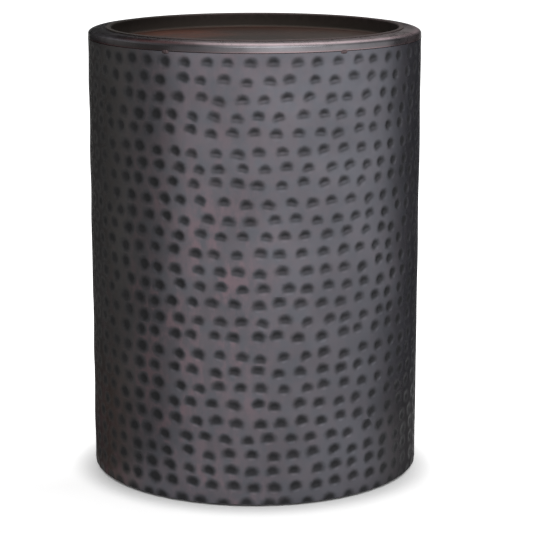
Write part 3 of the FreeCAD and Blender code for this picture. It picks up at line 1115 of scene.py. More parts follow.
# --- hammered wall
@dataclass(frozen=True)
class MarkPatinaAndLight:
    """Patina strength and painted light in the marks, with most painted light at the upper right of the
    front.

    A side is given by the sine of the azimuth at which it begins, and by how much more completes it.
    """

    unlit_side: tuple[float, float] = (0.35, 0.30)  # leftwards, the unlit side, with no painted light and a stronger patina as painted shade
    shaded_side: tuple[float, float] = (0.50, 0.25)  # leftwards, where the marks are a little lighter again
    flank_side: tuple[float, float] = (0.60, 0.25)  # rightwards, where the marks get less painted light and a stronger patina
    lit_side: tuple[float, float] = (-0.35, 0.35)  # rightwards, where the middles get a painted reflection
    lit_turn: float = 0.15  # by which that last side is turned, in radians
    unlit_strength: float = 1.15
    front_strength: float = 0.98
    thinned_up: float = 0.12  # what the front's strength loses up to the rim
    uneven: tuple[float, float] = (0.93, 1.06)
    flank_gain: float = 0.15
    shaded_loss: float = 0.18
    flank_spared: float = 0.65  # share of the painted light along the lower side that the flank is spared
    lower_share: tuple[float, float] = (0.75, 1.0)
    middle_low: float = 0.08
    middle_gain: float = 0.50
    middle_rise: tuple[float, float] = (0.1875, 0.625)  # level where the gain begins, and its reach
    middle_share: tuple[float, float] = (0.7, 1.15)

    def kept(self, azimuths: Array) -> Array:
        """1 for marks on the unlit left, which get no painted light, and 0 for the rest."""
        return rising(-np.sin(azimuths), *self.unlit_side)

    def shares(self, draw: np.random.Generator, azimuths: Array, level: Array) -> Array:
        """Draws the patina strength and painted light of each mark.

        Args:
            draw: Source of the random differences.
            azimuths: Where each mark lies round the drum.
            level: Share of the wall's height at which it lies.

        Returns:
            For each mark the strength of its patina, the share of it that painted light replaces along its
            lower side, and the share that a painted reflection replaces in its middle.
        """
        kept = self.kept(azimuths)
        strength = (self.front_strength - self.thinned_up * level) * (1 - kept) + self.unlit_strength * kept
        strength = strength * draw.uniform(*self.uneven, level.shape)
        flank = rising(np.sin(azimuths), *self.flank_side)
        shaded = rising(-np.sin(azimuths), *self.shaded_side)
        strength = strength * (1 + self.flank_gain * flank - self.shaded_loss * shaded)
        lower = (1 - kept) * (1 - self.flank_spared * flank) * draw.uniform(*self.lower_share, level.shape)
        reach = rising(np.sin(azimuths + self.lit_turn), *self.lit_side) * (1 - flank)
        middle = (self.middle_low + self.middle_gain * rising(level, *self.middle_rise)) * reach
        return np.stack([strength, lower, middle * draw.uniform(*self.middle_share, level.shape)], -1)


@dataclass
class HammerMarks:
    """The rows of hammer marks: where each lies, how wide and how deep it is."""

    radius: float  # of the wall's outside
    bottom: float
    top: float
    columns: int = 50
    rows: int = 27
    first_row_drop: float = 9.0 * MM  # the wall's shoulder down to the first row
    last_row_rise: float = 0.4 * MM  # the wall's lower edge up to the last row, which it cuts
    width: float = 14.0 * MM
    depth: float = 1.20 * MM
    edge_depth: float = 0.45  # depth of the lowest row, which the edge cuts, as a share of the others
    bar_reach: float = 20 * MM  # round the end of a bar, where the sheet gives way less
    backed_depth: float = 0.5
    wander: float = 0.07  # of a mark's place, as a share of the spacing
    most_wander: float = 2.2  # the most, as a multiple of that
    row_wander: float = 0.9 * MM
    most_row_wander: float = 2 * MM
    edge_row_wander: float = 0.4  # of the lowest and the highest row, as a share of the others
    slides: tuple[float, float] = (0.15, 0.5)  # of a row beside the one below it, as a share of the spacing
    seam_columns: float = 3.0  # over which the rows line up towards the seam
    seam_slack: float = 0.3  # what is left of their slides in the columns beside the seam
    size_shares: tuple[float, float] = (0.92, 1.07)
    depth_shares: tuple[float, float] = (0.75, 1.15)
    most_tilt: float = math.radians(45)  # how far the painted light in a mark turns aside on the left flank
    right_tilt: float = math.radians(28)  # and on the right
    unlit_tilt_loss: float = 0.7  # share of it that goes on the unlit left
    lean_spread: float = math.radians(7)
    patina_size: float = 1.08  # size of a mark's patina, as a share of its own
    patina_shrink: float = 0.14  # what it loses up to the rim
    patina_growth: float = 0.12  # what it gains on the unlit left, as painted shade
    # patina strength and painted light of the marks by their place
    worn: MarkPatinaAndLight = MarkPatinaAndLight()
    seed: int = 11
    swell: float = 0.16 * MM  # slow unevenness of the sheet
    swell_waves: int = 14
    swell_turns: int = 14  # more than the most waves round the drum
    swell_length: float = 55 * MM  # shortest wave up the drum
    edge_calm: float = 14 * MM  # over which the unevenness fades at the top and bottom

    def __post_init__(self) -> None:
        """Places the marks, and draws how each is shaped and worn and how the sheet swells."""
        draw = np.random.default_rng(self.seed)
        self.column_angle = math.tau / self.columns
        self.low = self.bottom + self.last_row_rise
        self.rise = self.top - self.first_row_drop - self.low
        self.row_height = self.rise / (self.rows - 1)
        self._place(draw)
        self._shape(draw)
        self.turns = draw.integers(0, self.swell_turns, self.swell_waves)
        self.rises = draw.uniform(-1, 1, self.swell_waves) * math.tau / self.swell_length
        self.phases = draw.uniform(0, math.tau, self.swell_waves)

    def _wandering(self, draw: np.random.Generator) -> Array:
        """Random shares of the spacing for all marks, with no far strays."""
        most = self.most_wander * self.wander
        return np.clip(draw.normal(0, self.wander, (self.rows, self.columns)), -most, most)

    def _place(self, draw: np.random.Generator) -> None:
        """Places the marks in rows that slide sideways, and line up towards the seam.

        Args:
            draw: Source of the random differences.
        """
        numbers = np.arange(self.columns)
        column = (numbers + 0.5) * self.column_angle - math.pi
        calm = np.ones(self.rows)
        calm[[0, -1]] = self.edge_row_wander
        most = self.most_row_wander
        stray = np.clip(draw.normal(0, self.row_wander, self.rows), -most, most)
        row = self.low + np.arange(self.rows) * self.row_height + stray * calm
        slide = np.zeros(self.rows)
        for index in range(1, self.rows):
            slide[index] = slide[index - 1] + draw.uniform(*self.slides) * draw.choice((-1, 1))
            if abs(slide[index]) > 0.5:  # nearer to the next column, on the other side
                slide[index] = math.copysign(1.0, slide[index]) - slide[index]
        from_seam = np.minimum(numbers, self.columns - 1 - numbers) + self.seam_slack
        beside_seam = rising(from_seam, 0.0, self.seam_columns)
        self.azimuths = column + (slide * self.column_angle)[:, None] * beside_seam
        self.azimuths += self._wandering(draw) * self.column_angle * beside_seam
        self.heights = row[:, None] + self._wandering(draw) * self.row_height * calm[:, None]

    def _shape(self, draw: np.random.Generator) -> None:
        """Draws how large, deep and slanted each mark is, and its patina and painted light.

        Args:
            draw: Source of the random differences.
        """
        shape = (self.rows, self.columns)
        self.sizes = draw.uniform(*self.size_shares, shape)
        self.depths = self.depth * draw.uniform(*self.depth_shares, shape)
        self.depths[0] *= self.edge_depth
        from_bar = np.abs(np.mod(self.azimuths, math.pi / 2) - math.pi / 4) * self.radius
        backed = (from_bar < self.bar_reach) & (self.top - self.heights < 2 * self.bar_reach)
        self.depths[backed] *= self.backed_depth
        level = rising(self.heights, self.low, self.rise)
        kept = self.worn.kept(self.azimuths)
        aside = np.sin(self.azimuths)
        most = np.where(aside < 0, self.most_tilt, self.right_tilt)
        tilt = most * aside * (1 - self.unlit_tilt_loss * kept)
        self.leans = draw.normal(0, self.lean_spread, shape) + tilt
        grown = self.patina_growth * kept - self.patina_shrink * level * (1 - kept)
        self.spreads = self.sizes * (self.patina_size + grown)
        # strength of each mark's patina, and the shares of painted light below and in the middle
        self.wear = self.worn.shares(draw, self.azimuths, level)

    def mark(self, azimuth: Array, height: Array) -> Array:
        """Depth of the marks.

        Args:
            azimuth: Angles round the drum.
            height: Heights above the floor.

        Returns:
            Depths in metres, 0 on the land.
        """
        column = np.floor((azimuth + math.pi) / self.column_angle).astype(int)
        row = np.floor((height - self.low) / self.row_height + 0.5).astype(int)
        total = np.zeros(np.shape(azimuth))
        for aside in (-1, 0, 1):
            for above in (-1, 0, 1):
                there = (column + aside) % self.columns
                level = np.clip(row + above, 0, self.rows - 1)
                exists = (row + above >= 0) & (row + above < self.rows)
                turn = azimuth - self.azimuths[level, there]
                across = (np.mod(turn + math.pi, math.tau) - math.pi) * self.radius
                half = self.sizes[level, there] * self.width / 2
                spread = (across**2 + (height - self.heights[level, there]) ** 2) / half**2
                bowl = np.clip(1 - spread, 0, 1) ** 2
                total += np.where(exists, bowl * self.depths[level, there], 0)
        return total

    def unevenness(self, azimuth: Array, height: Array) -> Array:
        """Slow waves of the hammered sheet, none at its edges.

        Args:
            azimuth: Angles round the drum.
            height: Heights above the floor.

        Returns:
            Changes of radius in metres.
        """
        total = np.zeros(np.shape(azimuth))
        for turns, rise, phase in zip(self.turns, self.rises, self.phases):
            total += np.sin(turns * azimuth + rise * height + phase)
        total *= self.swell / math.sqrt(self.swell_waves / 2)
        room = rising(np.minimum(height - self.bottom, self.top - height), 0.0, self.edge_calm)
        return total * eased(room)

    def offset(self, azimuth: Array, height: Array) -> Array:
        """Change of the wall's radius, in metres, at arrays of azimuth and height."""
        return self.unevenness(azimuth, height) - self.mark(azimuth, height)


def halfway(values: Array) -> Array:
    """Means of the neighbouring rows of an array."""
    return (values[1:] + values[:-1]) / 2


@dataclass
class Patchwork:
    """Vertices and faces of one side of the wall: a cell round each mark, with rings inside it."""

    marks: HammerMarks
    seam_half_angle: float
    rings: tuple[float, ...]
    inward: float  # depth of this side below the wall's outside
    split_across: int = 3  # segments along a cell's lower and upper side
    split_up: int = 2  # segments along its left and right side
    edge_room: float = 3.4 * MM  # from the sheet's edge to the middle of the rings nearest to it
    ring_limit: float = 0.94  # the most of a cell that its rings take
    slope_step: float = 0.05 * MM  # over which the surface's slope is taken

    def __post_init__(self) -> None:
        """Places the vertices on the cells' sides, then those inside them."""
        marks = self.marks
        middle = halfway(np.pad(marks.azimuths, ((1, 1), (0, 0)), "edge"))
        end = np.full((marks.rows + 1, 1), math.pi - self.seam_half_angle)
        across = np.hstack([-end, halfway(middle.T).T, end])
        wide = halfway(np.pad(marks.heights, ((0, 0), (1, 1)), "edge").T).T
        edges = np.ones((1, marks.columns + 1))
        level = np.vstack([edges * marks.bottom, halfway(wide), edges * marks.top])
        self._add_lines(across, level)
        self._add_sides(across, level)
        self._add_rings()

    @staticmethod
    def _between(first: Array, last: Array, shares: Array) -> Array:
        """Values at the given shares of the way from first to last, on a new last axis."""
        return first[..., None] + (last - first)[..., None] * shares

    def _add_lines(self, across: Array, level: Array) -> None:
        """Adds the vertices along the cells' lower and upper sides.

        Args:
            across: Azimuths of the cells' corners.
            level: Their heights.
        """
        share = np.arange(self.split_across) / self.split_across
        lines = []
        for corners in (across, level):
            line = self._between(corners[:, :-1], corners[:, 1:], share).reshape(len(corners), -1)
            lines.append(np.hstack([line, corners[:, -1:]]))
        self.lines = np.arange(lines[0].size).reshape(lines[0].shape)
        self.azimuth, self.height = (line.ravel() for line in lines)

    def _add_sides(self, across: Array, level: Array) -> None:
        """Adds the vertices along the cells' left and right sides, bent to pass between the marks.

        Args:
            across: Azimuths of the cells' corners.
            level: Their heights.
        """
        share = np.arange(1, self.split_up) / self.split_up
        side_across = self._between(across[:-1], across[1:], share)
        side_level = self._between(level[:-1], level[1:], share)
        bulge = halfway(self.marks.azimuths.T).T - halfway(across[:, 1:-1])
        side_across[:, 1:-1] += bulge[..., None] * (4 * share * (1 - share))
        self.sides = len(self.azimuth) + np.arange(side_across.size).reshape(side_across.shape)
        self.azimuth = np.concatenate([self.azimuth, side_across.ravel()])
        self.height = np.concatenate([self.height, side_level.ravel()])

    def _loops(self) -> Array:
        """Finds the vertices round each cell.

        Returns:
            Their indices, one row for each cell, counter-clockwise seen from outside.
        """
        split = self.split_across
        first = np.arange(self.marks.columns) * split
        loop = [self.lines[:-1][:, first + step] for step in range(split + 1)]
        loop.extend(self.sides[:, 1:, step] for step in range(self.split_up - 1))
        loop.extend(self.lines[1:][:, first + split - step] for step in range(split + 1))
        loop.extend(self.sides[:, :-1, step] for step in reversed(range(self.split_up - 1)))
        return np.stack(loop, axis=-1).reshape(self.marks.rows * self.marks.columns, -1)

    def _add_rings(self) -> None:
        """Adds each cell's centre and rings, and its faces."""
        marks, loops = self.marks, self._loops()
        cells, around = loops.shape
        centre_across = marks.azimuths.reshape(-1, 1)
        centre_level = np.clip(marks.heights, marks.bottom + self.edge_room, marks.top - self.edge_room)
        centre_level = centre_level.reshape(-1, 1)
        reach = marks.sizes.reshape(-1, 1) * marks.width / 2
        out_across = (self.azimuth[loops] - centre_across) * marks.radius
        out_level = self.height[loops] - centre_level
        limit = np.minimum(reach / np.hypot(out_across, out_level), self.ring_limit)
        start = len(self.azimuth)
        centres = start + np.arange(cells)
        across, level, circles = [centre_across.ravel()], [centre_level.ravel()], []
        for index, share in enumerate(self.rings):
            across.append((centre_across + out_across * limit * share / marks.radius).ravel())
            level.append((centre_level + out_level * limit * share).ravel())
            circle = start + cells * (1 + index * around) + np.arange(cells * around)
            circles.append(circle.reshape(cells, around))
        self.azimuth = np.concatenate([self.azimuth, *across])
        self.height = np.concatenate([self.height, *level])
        circles.append(loops)
        inner = circles[0]
        groups = [np.stack([np.repeat(centres[:, None], around, 1), inner, np.roll(inner, -1, 1)], -1)]
        for near, far in zip(circles, circles[1:]):
            groups.append(np.stack([near, far, np.roll(far, -1, 1), np.roll(near, -1, 1)], -1))
        owner = np.arange(cells)[:, None, None]
        self.faces = [face for group in groups for face in group.reshape(-1, group.shape[-1]).tolist()]
        self.corners = np.concatenate([group.ravel() for group in groups])
        self.owners = np.concatenate([np.broadcast_to(owner, group.shape).ravel() for group in groups])

    def in_marks(self) -> tuple[Array, Array]:
        """Where every corner of every face lies in its own hammer mark, and that mark's patina and painted
        light.

        Returns:
            Metres from the mark's middle along its two axes and a 0, and the mark's patina and painted light.
        """
        marks, owner = self.marks, self.owners
        across = (self.azimuth[self.corners] - marks.azimuths.ravel()[owner]) * marks.radius
        rise = self.height[self.corners] - marks.heights.ravel()[owner]
        lean, size = marks.leans.ravel()[owner], marks.spreads.ravel()[owner]
        along = (across * np.cos(lean) + rise * np.sin(lean)) / size
        beside = (rise * np.cos(lean) - across * np.sin(lean)) / size
        return np.stack([along, beside, np.zeros_like(along)], -1), marks.wear.reshape(-1, 3)[owner]

    def points(self) -> Array:
        """Places of the vertices."""
        offset = self.marks.offset(self.azimuth, self.height)
        return polar(self.marks.radius - self.inward + offset, self.azimuth, self.height)

    def normals(self) -> Array:
        """Outward normals, from the slope of the surface.

        Returns:
            One row for each vertex.
        """
        marks, step = self.marks, self.slope_step
        turn = step / marks.radius
        azimuth, height = self.azimuth, self.height
        across = marks.offset(azimuth + turn, height) - marks.offset(azimuth - turn, height)
        upward = marks.offset(azimuth, height + step) - marks.offset(azimuth, height - step)
        across, upward = across / (2 * step), upward / (2 * step)
        out, aside = polar(1.0, azimuth, 0.0), polar(1.0, azimuth + math.pi / 2, 0.0)
        normal = out - across[:, None] * aside - upward[:, None] * np.array([0.0, 0.0, 1.0])
        return normal / np.linalg.norm(normal, axis=1)[:, None]

    def side_chain(self, column: int) -> list[int]:
        """Follows one edge of the rolled sheet up.

        Args:
            column: 0 for the edge at the first column, -1 for the one at the last.

        Returns:
            Indices of its vertices.
        """
        chain = []
        for row in range(self.marks.rows):
            chain.append(int(self.lines[row, column]))
            chain.extend(int(index) for index in self.sides[row, column])
        chain.append(int(self.lines[-1, column]))
        return chain


@dataclass
class HammeredDrum:
    """The rolled wall with its hammer marks, and the weld that closes it."""

    sizes: TableSizes
    finishes: Finishes
    outer_rings: tuple[float, ...] = (0.22, 0.42, 0.62, 0.82, 1.0)
    inner_rings: tuple[float, ...] = (0.55,)
    edge_rounding: float = 0.35 * MM
    edge_steps: int = 3
    groove: float = 0.6 * MM  # what shows of the groove below the band
    bend: float = 0.9 * MM  # rounding of the step in to the neck
    bend_steps: int = 3
    bend_support: float = 0.3 * MM
    top_margin: float = 2 * MM  # below the shoulder, where the section over the top begins inside
    strip_half_width: float = 2.3 * MM
    strip_proud: float = 0.22 * MM
    strip_crown: int = 3  # the higher, the flatter its top
    strip_sunk: float = 0.02 * MM  # of the strip's sides below the sheet's face
    strip_fade: float = 1 * MM  # over which it ends below the shoulder
    strip_places: tuple[float, ...] = (-1, -0.6, -0.2, 0.2, 0.6, 1)  # across it, as shares of its half width
    gap_depths: tuple[float, float] = (0.3, 0.8)  # of points in the joint, as shares of the thickness
    bead_radius: float = 2.2 * MM
    bead_steps: int = 6
    bead_margin: float = 12 * MM
    bead_fade: float = 2 * MM
    bead_ripple: float = 1.9 * MM
    bead_wave: float = 7 * MM  # a radian of the slow wave
    ripple_share: float = 0.07
    wave_share: float = 0.04
    bar_drop: float = 20 * MM  # the tray's underside to the underside of the bars
    weld_step: float = 0.6 * MM

    def __post_init__(self) -> None:
        """Works out the levels of the shoulder and the neck, and places the marks."""
        self.shoulder = self.sizes.band_bottom - self.groove
        self.neck_radius = self.sizes.drum_radius - RIM_THICKNESS - SLIP_FIT
        self.neck_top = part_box("drum_wall")[1].z
        bottom = self.sizes.foot_level + self.edge_rounding
        self.marks = HammerMarks(self.sizes.drum_radius, bottom, self.shoulder)
        self.seam_half_angle = SEAM_GAP / 2 / self.sizes.drum_radius

    def _top_outline(self) -> Array:
        """Section over the sheet's top: up the step and the neck, over its edge and down inside.

        Returns:
            Radius and height of each point above the outer side's own upper edge.
        """
        radius, neck, edge = self.sizes.drum_radius, self.neck_radius, self.edge_rounding
        slope = math.atan2(radius - neck, self.groove)
        drop = WALL_THICKNESS * math.tan(slope / 2)
        start = self.shoulder - self.top_margin
        corners = [
            (radius, start, 0.0),
            (radius, self.shoulder, self.bend),
            (neck, self.sizes.band_bottom, self.bend),
            (neck, self.neck_top, edge),
            (neck - WALL_THICKNESS, self.neck_top, edge),
            (neck - WALL_THICKNESS, self.sizes.band_bottom - drop, self.bend),
            (radius - WALL_THICKNESS, self.shoulder - drop, self.bend),
            (radius - WALL_THICKNESS, start, 0.0),
        ]
        outline = rounded_outline(corners, self.bend_steps, self.bend_support)
        first = int(np.argmax(outline[:, 1] > self.shoulder + TOUCH))
        return outline[first:-1]

    def _foot_outline(self) -> Array:
        """Section under the sheet's lower edge, from inside to outside.

        Returns:
            Radius and height of each point.
        """
        radius, edge = self.sizes.drum_radius, self.edge_rounding
        turns = np.linspace(math.pi / 2, 0, self.edge_steps + 1)[1:]
        inward, height = edge * (1 - np.sin(turns)), self.sizes.foot_level + edge * (1 - np.cos(turns))
        inner = np.stack([radius - WALL_THICKNESS + inward, height], -1)
        outer = np.stack([radius - inward, height], -1)
        return np.vstack([inner, outer[::-1]])

    def build_wall(self) -> None:
        """Builds the wall as one closed sheet."""
        outer = Patchwork(self.marks, self.seam_half_angle, self.outer_rings, 0.0)
        inner = Patchwork(self.marks, self.seam_half_angle, self.inner_rings, WALL_THICKNESS)
        start = len(outer.azimuth)
        used = start + len(inner.azimuth)
        points = [outer.points(), inner.points()]
        faces = list(outer.faces)
        faces.extend([[start + index for index in face[::-1]] for face in inner.faces])
        head, foot = outer.azimuth[outer.lines[-1]], outer.azimuth[outer.lines[0]]
        shift = self.marks.offset(foot, np.full_like(foot, self.marks.bottom))
        chains = []
        for outline, azimuth, outward, first, last in (
            (self._top_outline(), head, 0.0, outer.lines[-1], start + inner.lines[-1]),
            (self._foot_outline(), foot, shift, start + inner.lines[0], outer.lines[0]),
        ):
            ring = polar(outline[:, :1] + outward, azimuth, outline[:, 1:])
            indices = used + np.arange(ring[..., 0].size).reshape(ring.shape[:2])
            used += indices.size
            points.append(ring.reshape(-1, 3))
            chain = np.vstack([first[None], indices, last[None]])
            quads = np.stack([chain[:-1, :-1], chain[:-1, 1:], chain[1:, 1:], chain[1:, :-1]], -1)
            faces.extend(quads.reshape(-1, 4).tolist())
            chains.append(chain)
        faces.extend(self._sheet_ends(outer, inner, start, chains))
        wall = make_object("drum_wall_hammered", np.vstack(points), faces)
        self._set_normals(wall, outer, inner)
        place, wear = outer.in_marks()
        set_corners(wall, MARK_PLACE, place, 1.0)
        set_corners(wall, MARK_PATINA_AND_LIGHT, wear, 0.0)
        self.finishes.fit(wall, Slot.SHEET, "drum_wall")

    @staticmethod
    def _sheet_ends(outer: Patchwork, inner: Patchwork, start: int, chains: list[Array]) -> list[list[int]]:
        """Closes the two edges of the sheet at the seam.

        Args:
            outer: The outer side.
            inner: The inner side.
            start: Index of the inner side's first vertex.
            chains: Index rows over the top and under the foot.

        Returns:
            The faces.
        """
        faces = []
        for column in (0, -1):
            order = 1 if column == 0 else -1
            out = outer.side_chain(column)
            within = [start + index for index in inner.side_chain(column)]
            for step in range(len(out) - 1):
                faces.append([out[step], out[step + 1], within[step + 1], within[step]][::order])
            faces.extend(chain[:, column].tolist()[::order] for chain in chains)
        return faces

    @staticmethod
    def _set_normals(wall: Object, outer: Patchwork, inner: Patchwork) -> None:
        """Gives both sides of the sheet the normals of their true surface.

        Args:
            wall: The wall's object.
            outer: The outer side, whose vertices come first.
            inner: The inner side, whose vertices follow.
        """
        normals = np.zeros(len(wall.data.vertices) * 3, np.float32)
        wall.data.vertex_normals.foreach_get("vector", normals)
        normals = normals.reshape(-1, 3)
        true = np.vstack([outer.normals(), -inner.normals()])
        normals[: len(true)] = true
        wall.data.normals_split_custom_set_from_vertices(normals.tolist())

    def build_seam_weld(self) -> None:
        """Builds the weld in the butt joint: a dressed strip outside, a rippled bead inside."""
        height = np.arange(self.sizes.foot_level, self.neck_top, self.weld_step)
        gap = SEAM_GAP / 2
        low = self.sizes.ring_top + self.bead_margin
        high = self.sizes.tray_underside - self.bar_drop - self.bead_margin
        within = rising(np.minimum(height - low, high - height), 0.0, self.bead_fade)[:, None]
        ripple = self.ripple_share * np.sin(math.tau * height / self.bead_ripple)
        wave = self.wave_share * np.sin(height / self.bead_wave)
        bead = gap + (self.bead_radius * (1 + ripple + wave)[:, None] - gap) * np.sqrt(within)
        ending = rising(height, self.shoulder - self.strip_fade, self.strip_fade)
        proud = self.strip_proud * (1 - ending)[:, None]
        strip = gap + (self.strip_half_width - gap) * (proud > 0)
        places = np.array(self.strip_places)
        turns = np.linspace(0, math.pi, self.bead_steps + 1)
        shallow, deep = (-share * WALL_THICKNESS for share in self.gap_depths)
        left = np.tile([(-gap, shallow), (-gap, deep)], (len(height), 1, 1))
        right = np.tile([(gap, deep), (gap, shallow)], (len(height), 1, 1))
        crown = proud * (1 - np.abs(places) ** self.strip_crown) - self.strip_sunk
        outside = np.stack([-strip * places, crown], -1)
        inside = np.stack([-bead * np.cos(turns), -WALL_THICKNESS - bead * np.sin(turns) * within], -1)
        sections = np.concatenate([outside, left, inside, right], axis=1)
        step_in = rising(height, self.shoulder, self.groove) * (self.sizes.drum_radius - self.neck_radius)
        shift = self.marks.offset(np.full(len(height), math.pi), height)
        sections[..., 1] += (shift - step_in)[:, None]
        origins = polar(self.sizes.drum_radius, math.pi, height)
        across = np.tile(polar(1.0, math.pi * 1.5, 0.0), (len(height), 1))
        outward = np.tile(polar(1.0, math.pi, 0.0), (len(height), 1))
        weld = joined("wall_seam_weld_bead", [swept(origins, across, outward, sections)])
        covered = np.zeros(sections.shape[:2])
        covered[:, : len(places)] = 1
        set_share(weld, PATINA_COVER, covered)
        self.finishes.fit(weld, Slot.WELD, "wall_seam_weld")


# --- rim and tray
@dataclass
class RimRing:
    """The spun ring with its flat ledge, rounded edge and band, and the tacks that hold it."""

    sizes: TableSizes
    finishes: Finishes
    edge_reach: float = 12.0 * MM  # of the oval rounding across the ledge
    edge_drop: float = 5.0 * MM  # of the oval rounding down the band
    edge_steps: int = 16
    lip_rounding: float = 0.35 * MM
    steps: int = 288
    ripple: float = 0.05 * MM
    ripple_waves: tuple[int, ...] = (9, 17, 31, 53, 71, 97)  # waves round the ring
    ripple_slant: float = 300.0  # radians that they turn by for each metre up
    ripple_divisor: float = 2.4
    sway: tuple[tuple[float, float, float], ...] = ((3, 1.0, 1.0), (5, 2.0, 0.7))  # waves, phase and share
    sway_share: float = 0.5
    wear_share: float = 0.2  # of the lower edge and of the hole's edge, where the crest has 1
    lower_reach: float = 0.9 * MM
    hole_reach: float = 1.5 * MM
    # the crest, where the painted highlight lies on the rubbed edge
    crest_place: tuple[float, float] = (5.0 * MM, 1.2 * MM)  # in from the outside and down from the ledge
    crest_height: float = 1.4
    crest_reach: float = 4 * MM
    crest_slope: float = 2.0  # how much faster the wear and painted highlight end downwards than inwards
    seed: int = 5
    tack_count: int = 6
    first_tack: float = math.radians(30)
    tack_length: float = 7.0 * MM
    tack_reach: float = 0.9 * MM
    tack_proud: float = 0.8 * MM
    tack_stations: int = 25
    tack_steps: int = 8
    tack_ripple: float = 0.12
    tack_waves: float = 9.0
    tack_roughness: float = 0.03
    tack_end: float = 0.02  # share of its section that is left at its ends

    def _hand_worked(self, azimuth: Array, radius: Array, height: Array) -> tuple[Array, Array]:
        """Slight unevenness of the edge, which the spinner's tool left.

        Args:
            azimuth: Angles round the drum.
            radius: Distances from the axis.
            height: Heights above the floor.

        Returns:
            The changes of radius and of height.
        """
        draw = np.random.default_rng(self.seed)
        wave = np.zeros(azimuth.shape)
        for turns in self.ripple_waves:
            wave += np.sin(turns * azimuth + draw.uniform(0, PHASES) + self.ripple_slant * height)
        wave *= self.ripple / self.ripple_divisor
        slow = sum(share * np.sin(turns * azimuth + phase) for turns, phase, share in self.sway)
        near = rising(radius, self.sizes.drum_radius - self.edge_reach, self.edge_reach)
        rise = rising(height, self.sizes.rim_height - self.edge_drop, self.edge_drop)
        return wave * near, (wave + self.sway_share * self.ripple * slow) * near * rise

    def _oval_edge(self, thin: float) -> list[tuple[float, float, float]]:
        """Corners along the oval rounding, from the band up to the ledge.

        Args:
            thin: How far inside the visible side they lie.

        Returns:
            Radius, height and rounding of each, as `rounded_outline` takes them.
        """
        turns = np.linspace(0, math.pi / 2, self.edge_steps)
        out = self.sizes.drum_radius - self.edge_reach + (self.edge_reach - thin) * np.cos(turns)
        up = self.sizes.rim_height - self.edge_drop + (self.edge_drop - thin) * np.sin(turns)
        return [(radius, height, 0.0) for radius, height in zip(out, up)]

    def _wear_and_highlight(self, out: Array, up: Array) -> Array:
        """How near each point is to a rubbed edge, and on the crest the strength of its painted highlight.

        Args:
            out: Distances from the axis.
            up: Heights above the floor.

        Returns:
            Shares from 0 to 1.
        """
        radius, top = self.sizes.drum_radius, self.sizes.rim_height
        lower = np.exp(-((out - radius) ** 2 + (up - self.sizes.band_bottom) ** 2) / self.lower_reach**2)
        hole = np.exp(-((out - self.sizes.hole_radius) ** 2 + (up - top) ** 2) / self.hole_reach**2)
        inward, down = self.crest_place
        from_crest = np.hypot(out - radius + inward, self.crest_slope * (up - top + down))
        crest = np.clip(self.crest_height - from_crest / self.crest_reach, 0, 1)
        return np.clip(crest + self.wear_share * (lower + hole), 0, 1)

    def build_ring(self) -> None:
        """Builds the ring."""
        radius, top, low = self.sizes.drum_radius, self.sizes.rim_height, self.sizes.band_bottom
        hole, lip = self.sizes.hole_radius, self.lip_rounding
        corners = [
            (radius - RIM_THICKNESS, low, lip),
            (radius, low, lip),
            *self._oval_edge(0.0),
            (hole, top, lip),
            (hole, top - RIM_THICKNESS, lip),
            *self._oval_edge(RIM_THICKNESS)[::-1],
        ]
        outline = rounded_outline(corners, ROUNDING_STEPS, SUPPORT)
        ring = turned("rim_ring_spun", outline, self.steps, self._hand_worked)
        at_hole = int(np.argmin(outline[:, 0]))  # the visible side comes before it, the hidden one after
        seen = np.repeat(np.arange(len(outline)) <= at_hole, self.steps)
        set_share(ring, EDGE_WEAR_AND_HIGHLIGHT, np.where(seen, self._wear_and_highlight(*profile(ring)), 0))
        self.finishes.fit(ring, Slot.RIM, "rim_ring")

    def build_tacks(self) -> None:
        """Builds the tacks across the groove below the band."""
        draw = np.random.default_rng(self.seed + 1)
        radius, half_groove = self.sizes.drum_radius, GROOVE_HEIGHT / 2
        neck = RIM_THICKNESS + SLIP_FIT
        turns = np.linspace(-math.pi / 2, math.pi / 2, self.tack_steps + 1)
        share = np.linspace(-1, 1, self.tack_stations)
        fade = np.sqrt(np.clip(1 - share**2, self.tack_end, 1))
        back = np.tile([(-neck, half_groove), (-neck, -half_groove)], (len(share), 1, 1))
        upward = np.tile([0.0, 0.0, 1.0], (len(share), 1))
        parts = []
        for index in range(self.tack_count):
            centre = self.first_tack + math.tau * index / self.tack_count
            azimuth = centre + share * self.tack_length / 2 / radius
            ripple = 1 + self.tack_ripple * np.sin(share * self.tack_waves + draw.uniform(0, PHASES))
            ripple += draw.normal(0, self.tack_roughness, len(share))
            tall = (half_groove + self.tack_reach * fade * ripple)[:, None]
            proud = (self.tack_proud * fade * ripple)[:, None]
            front = np.stack([proud * np.cos(turns), tall * np.sin(turns)], -1)
            sections = np.concatenate([front, back], axis=1)
            origins = polar(radius, azimuth, self.sizes.band_bottom - half_groove)
            parts.append(swept(origins, polar(1.0, azimuth, 0.0), upward, sections))
        self.finishes.fit(joined("rim_tack_beads", parts), Slot.TACK, "rim_tack_welds")


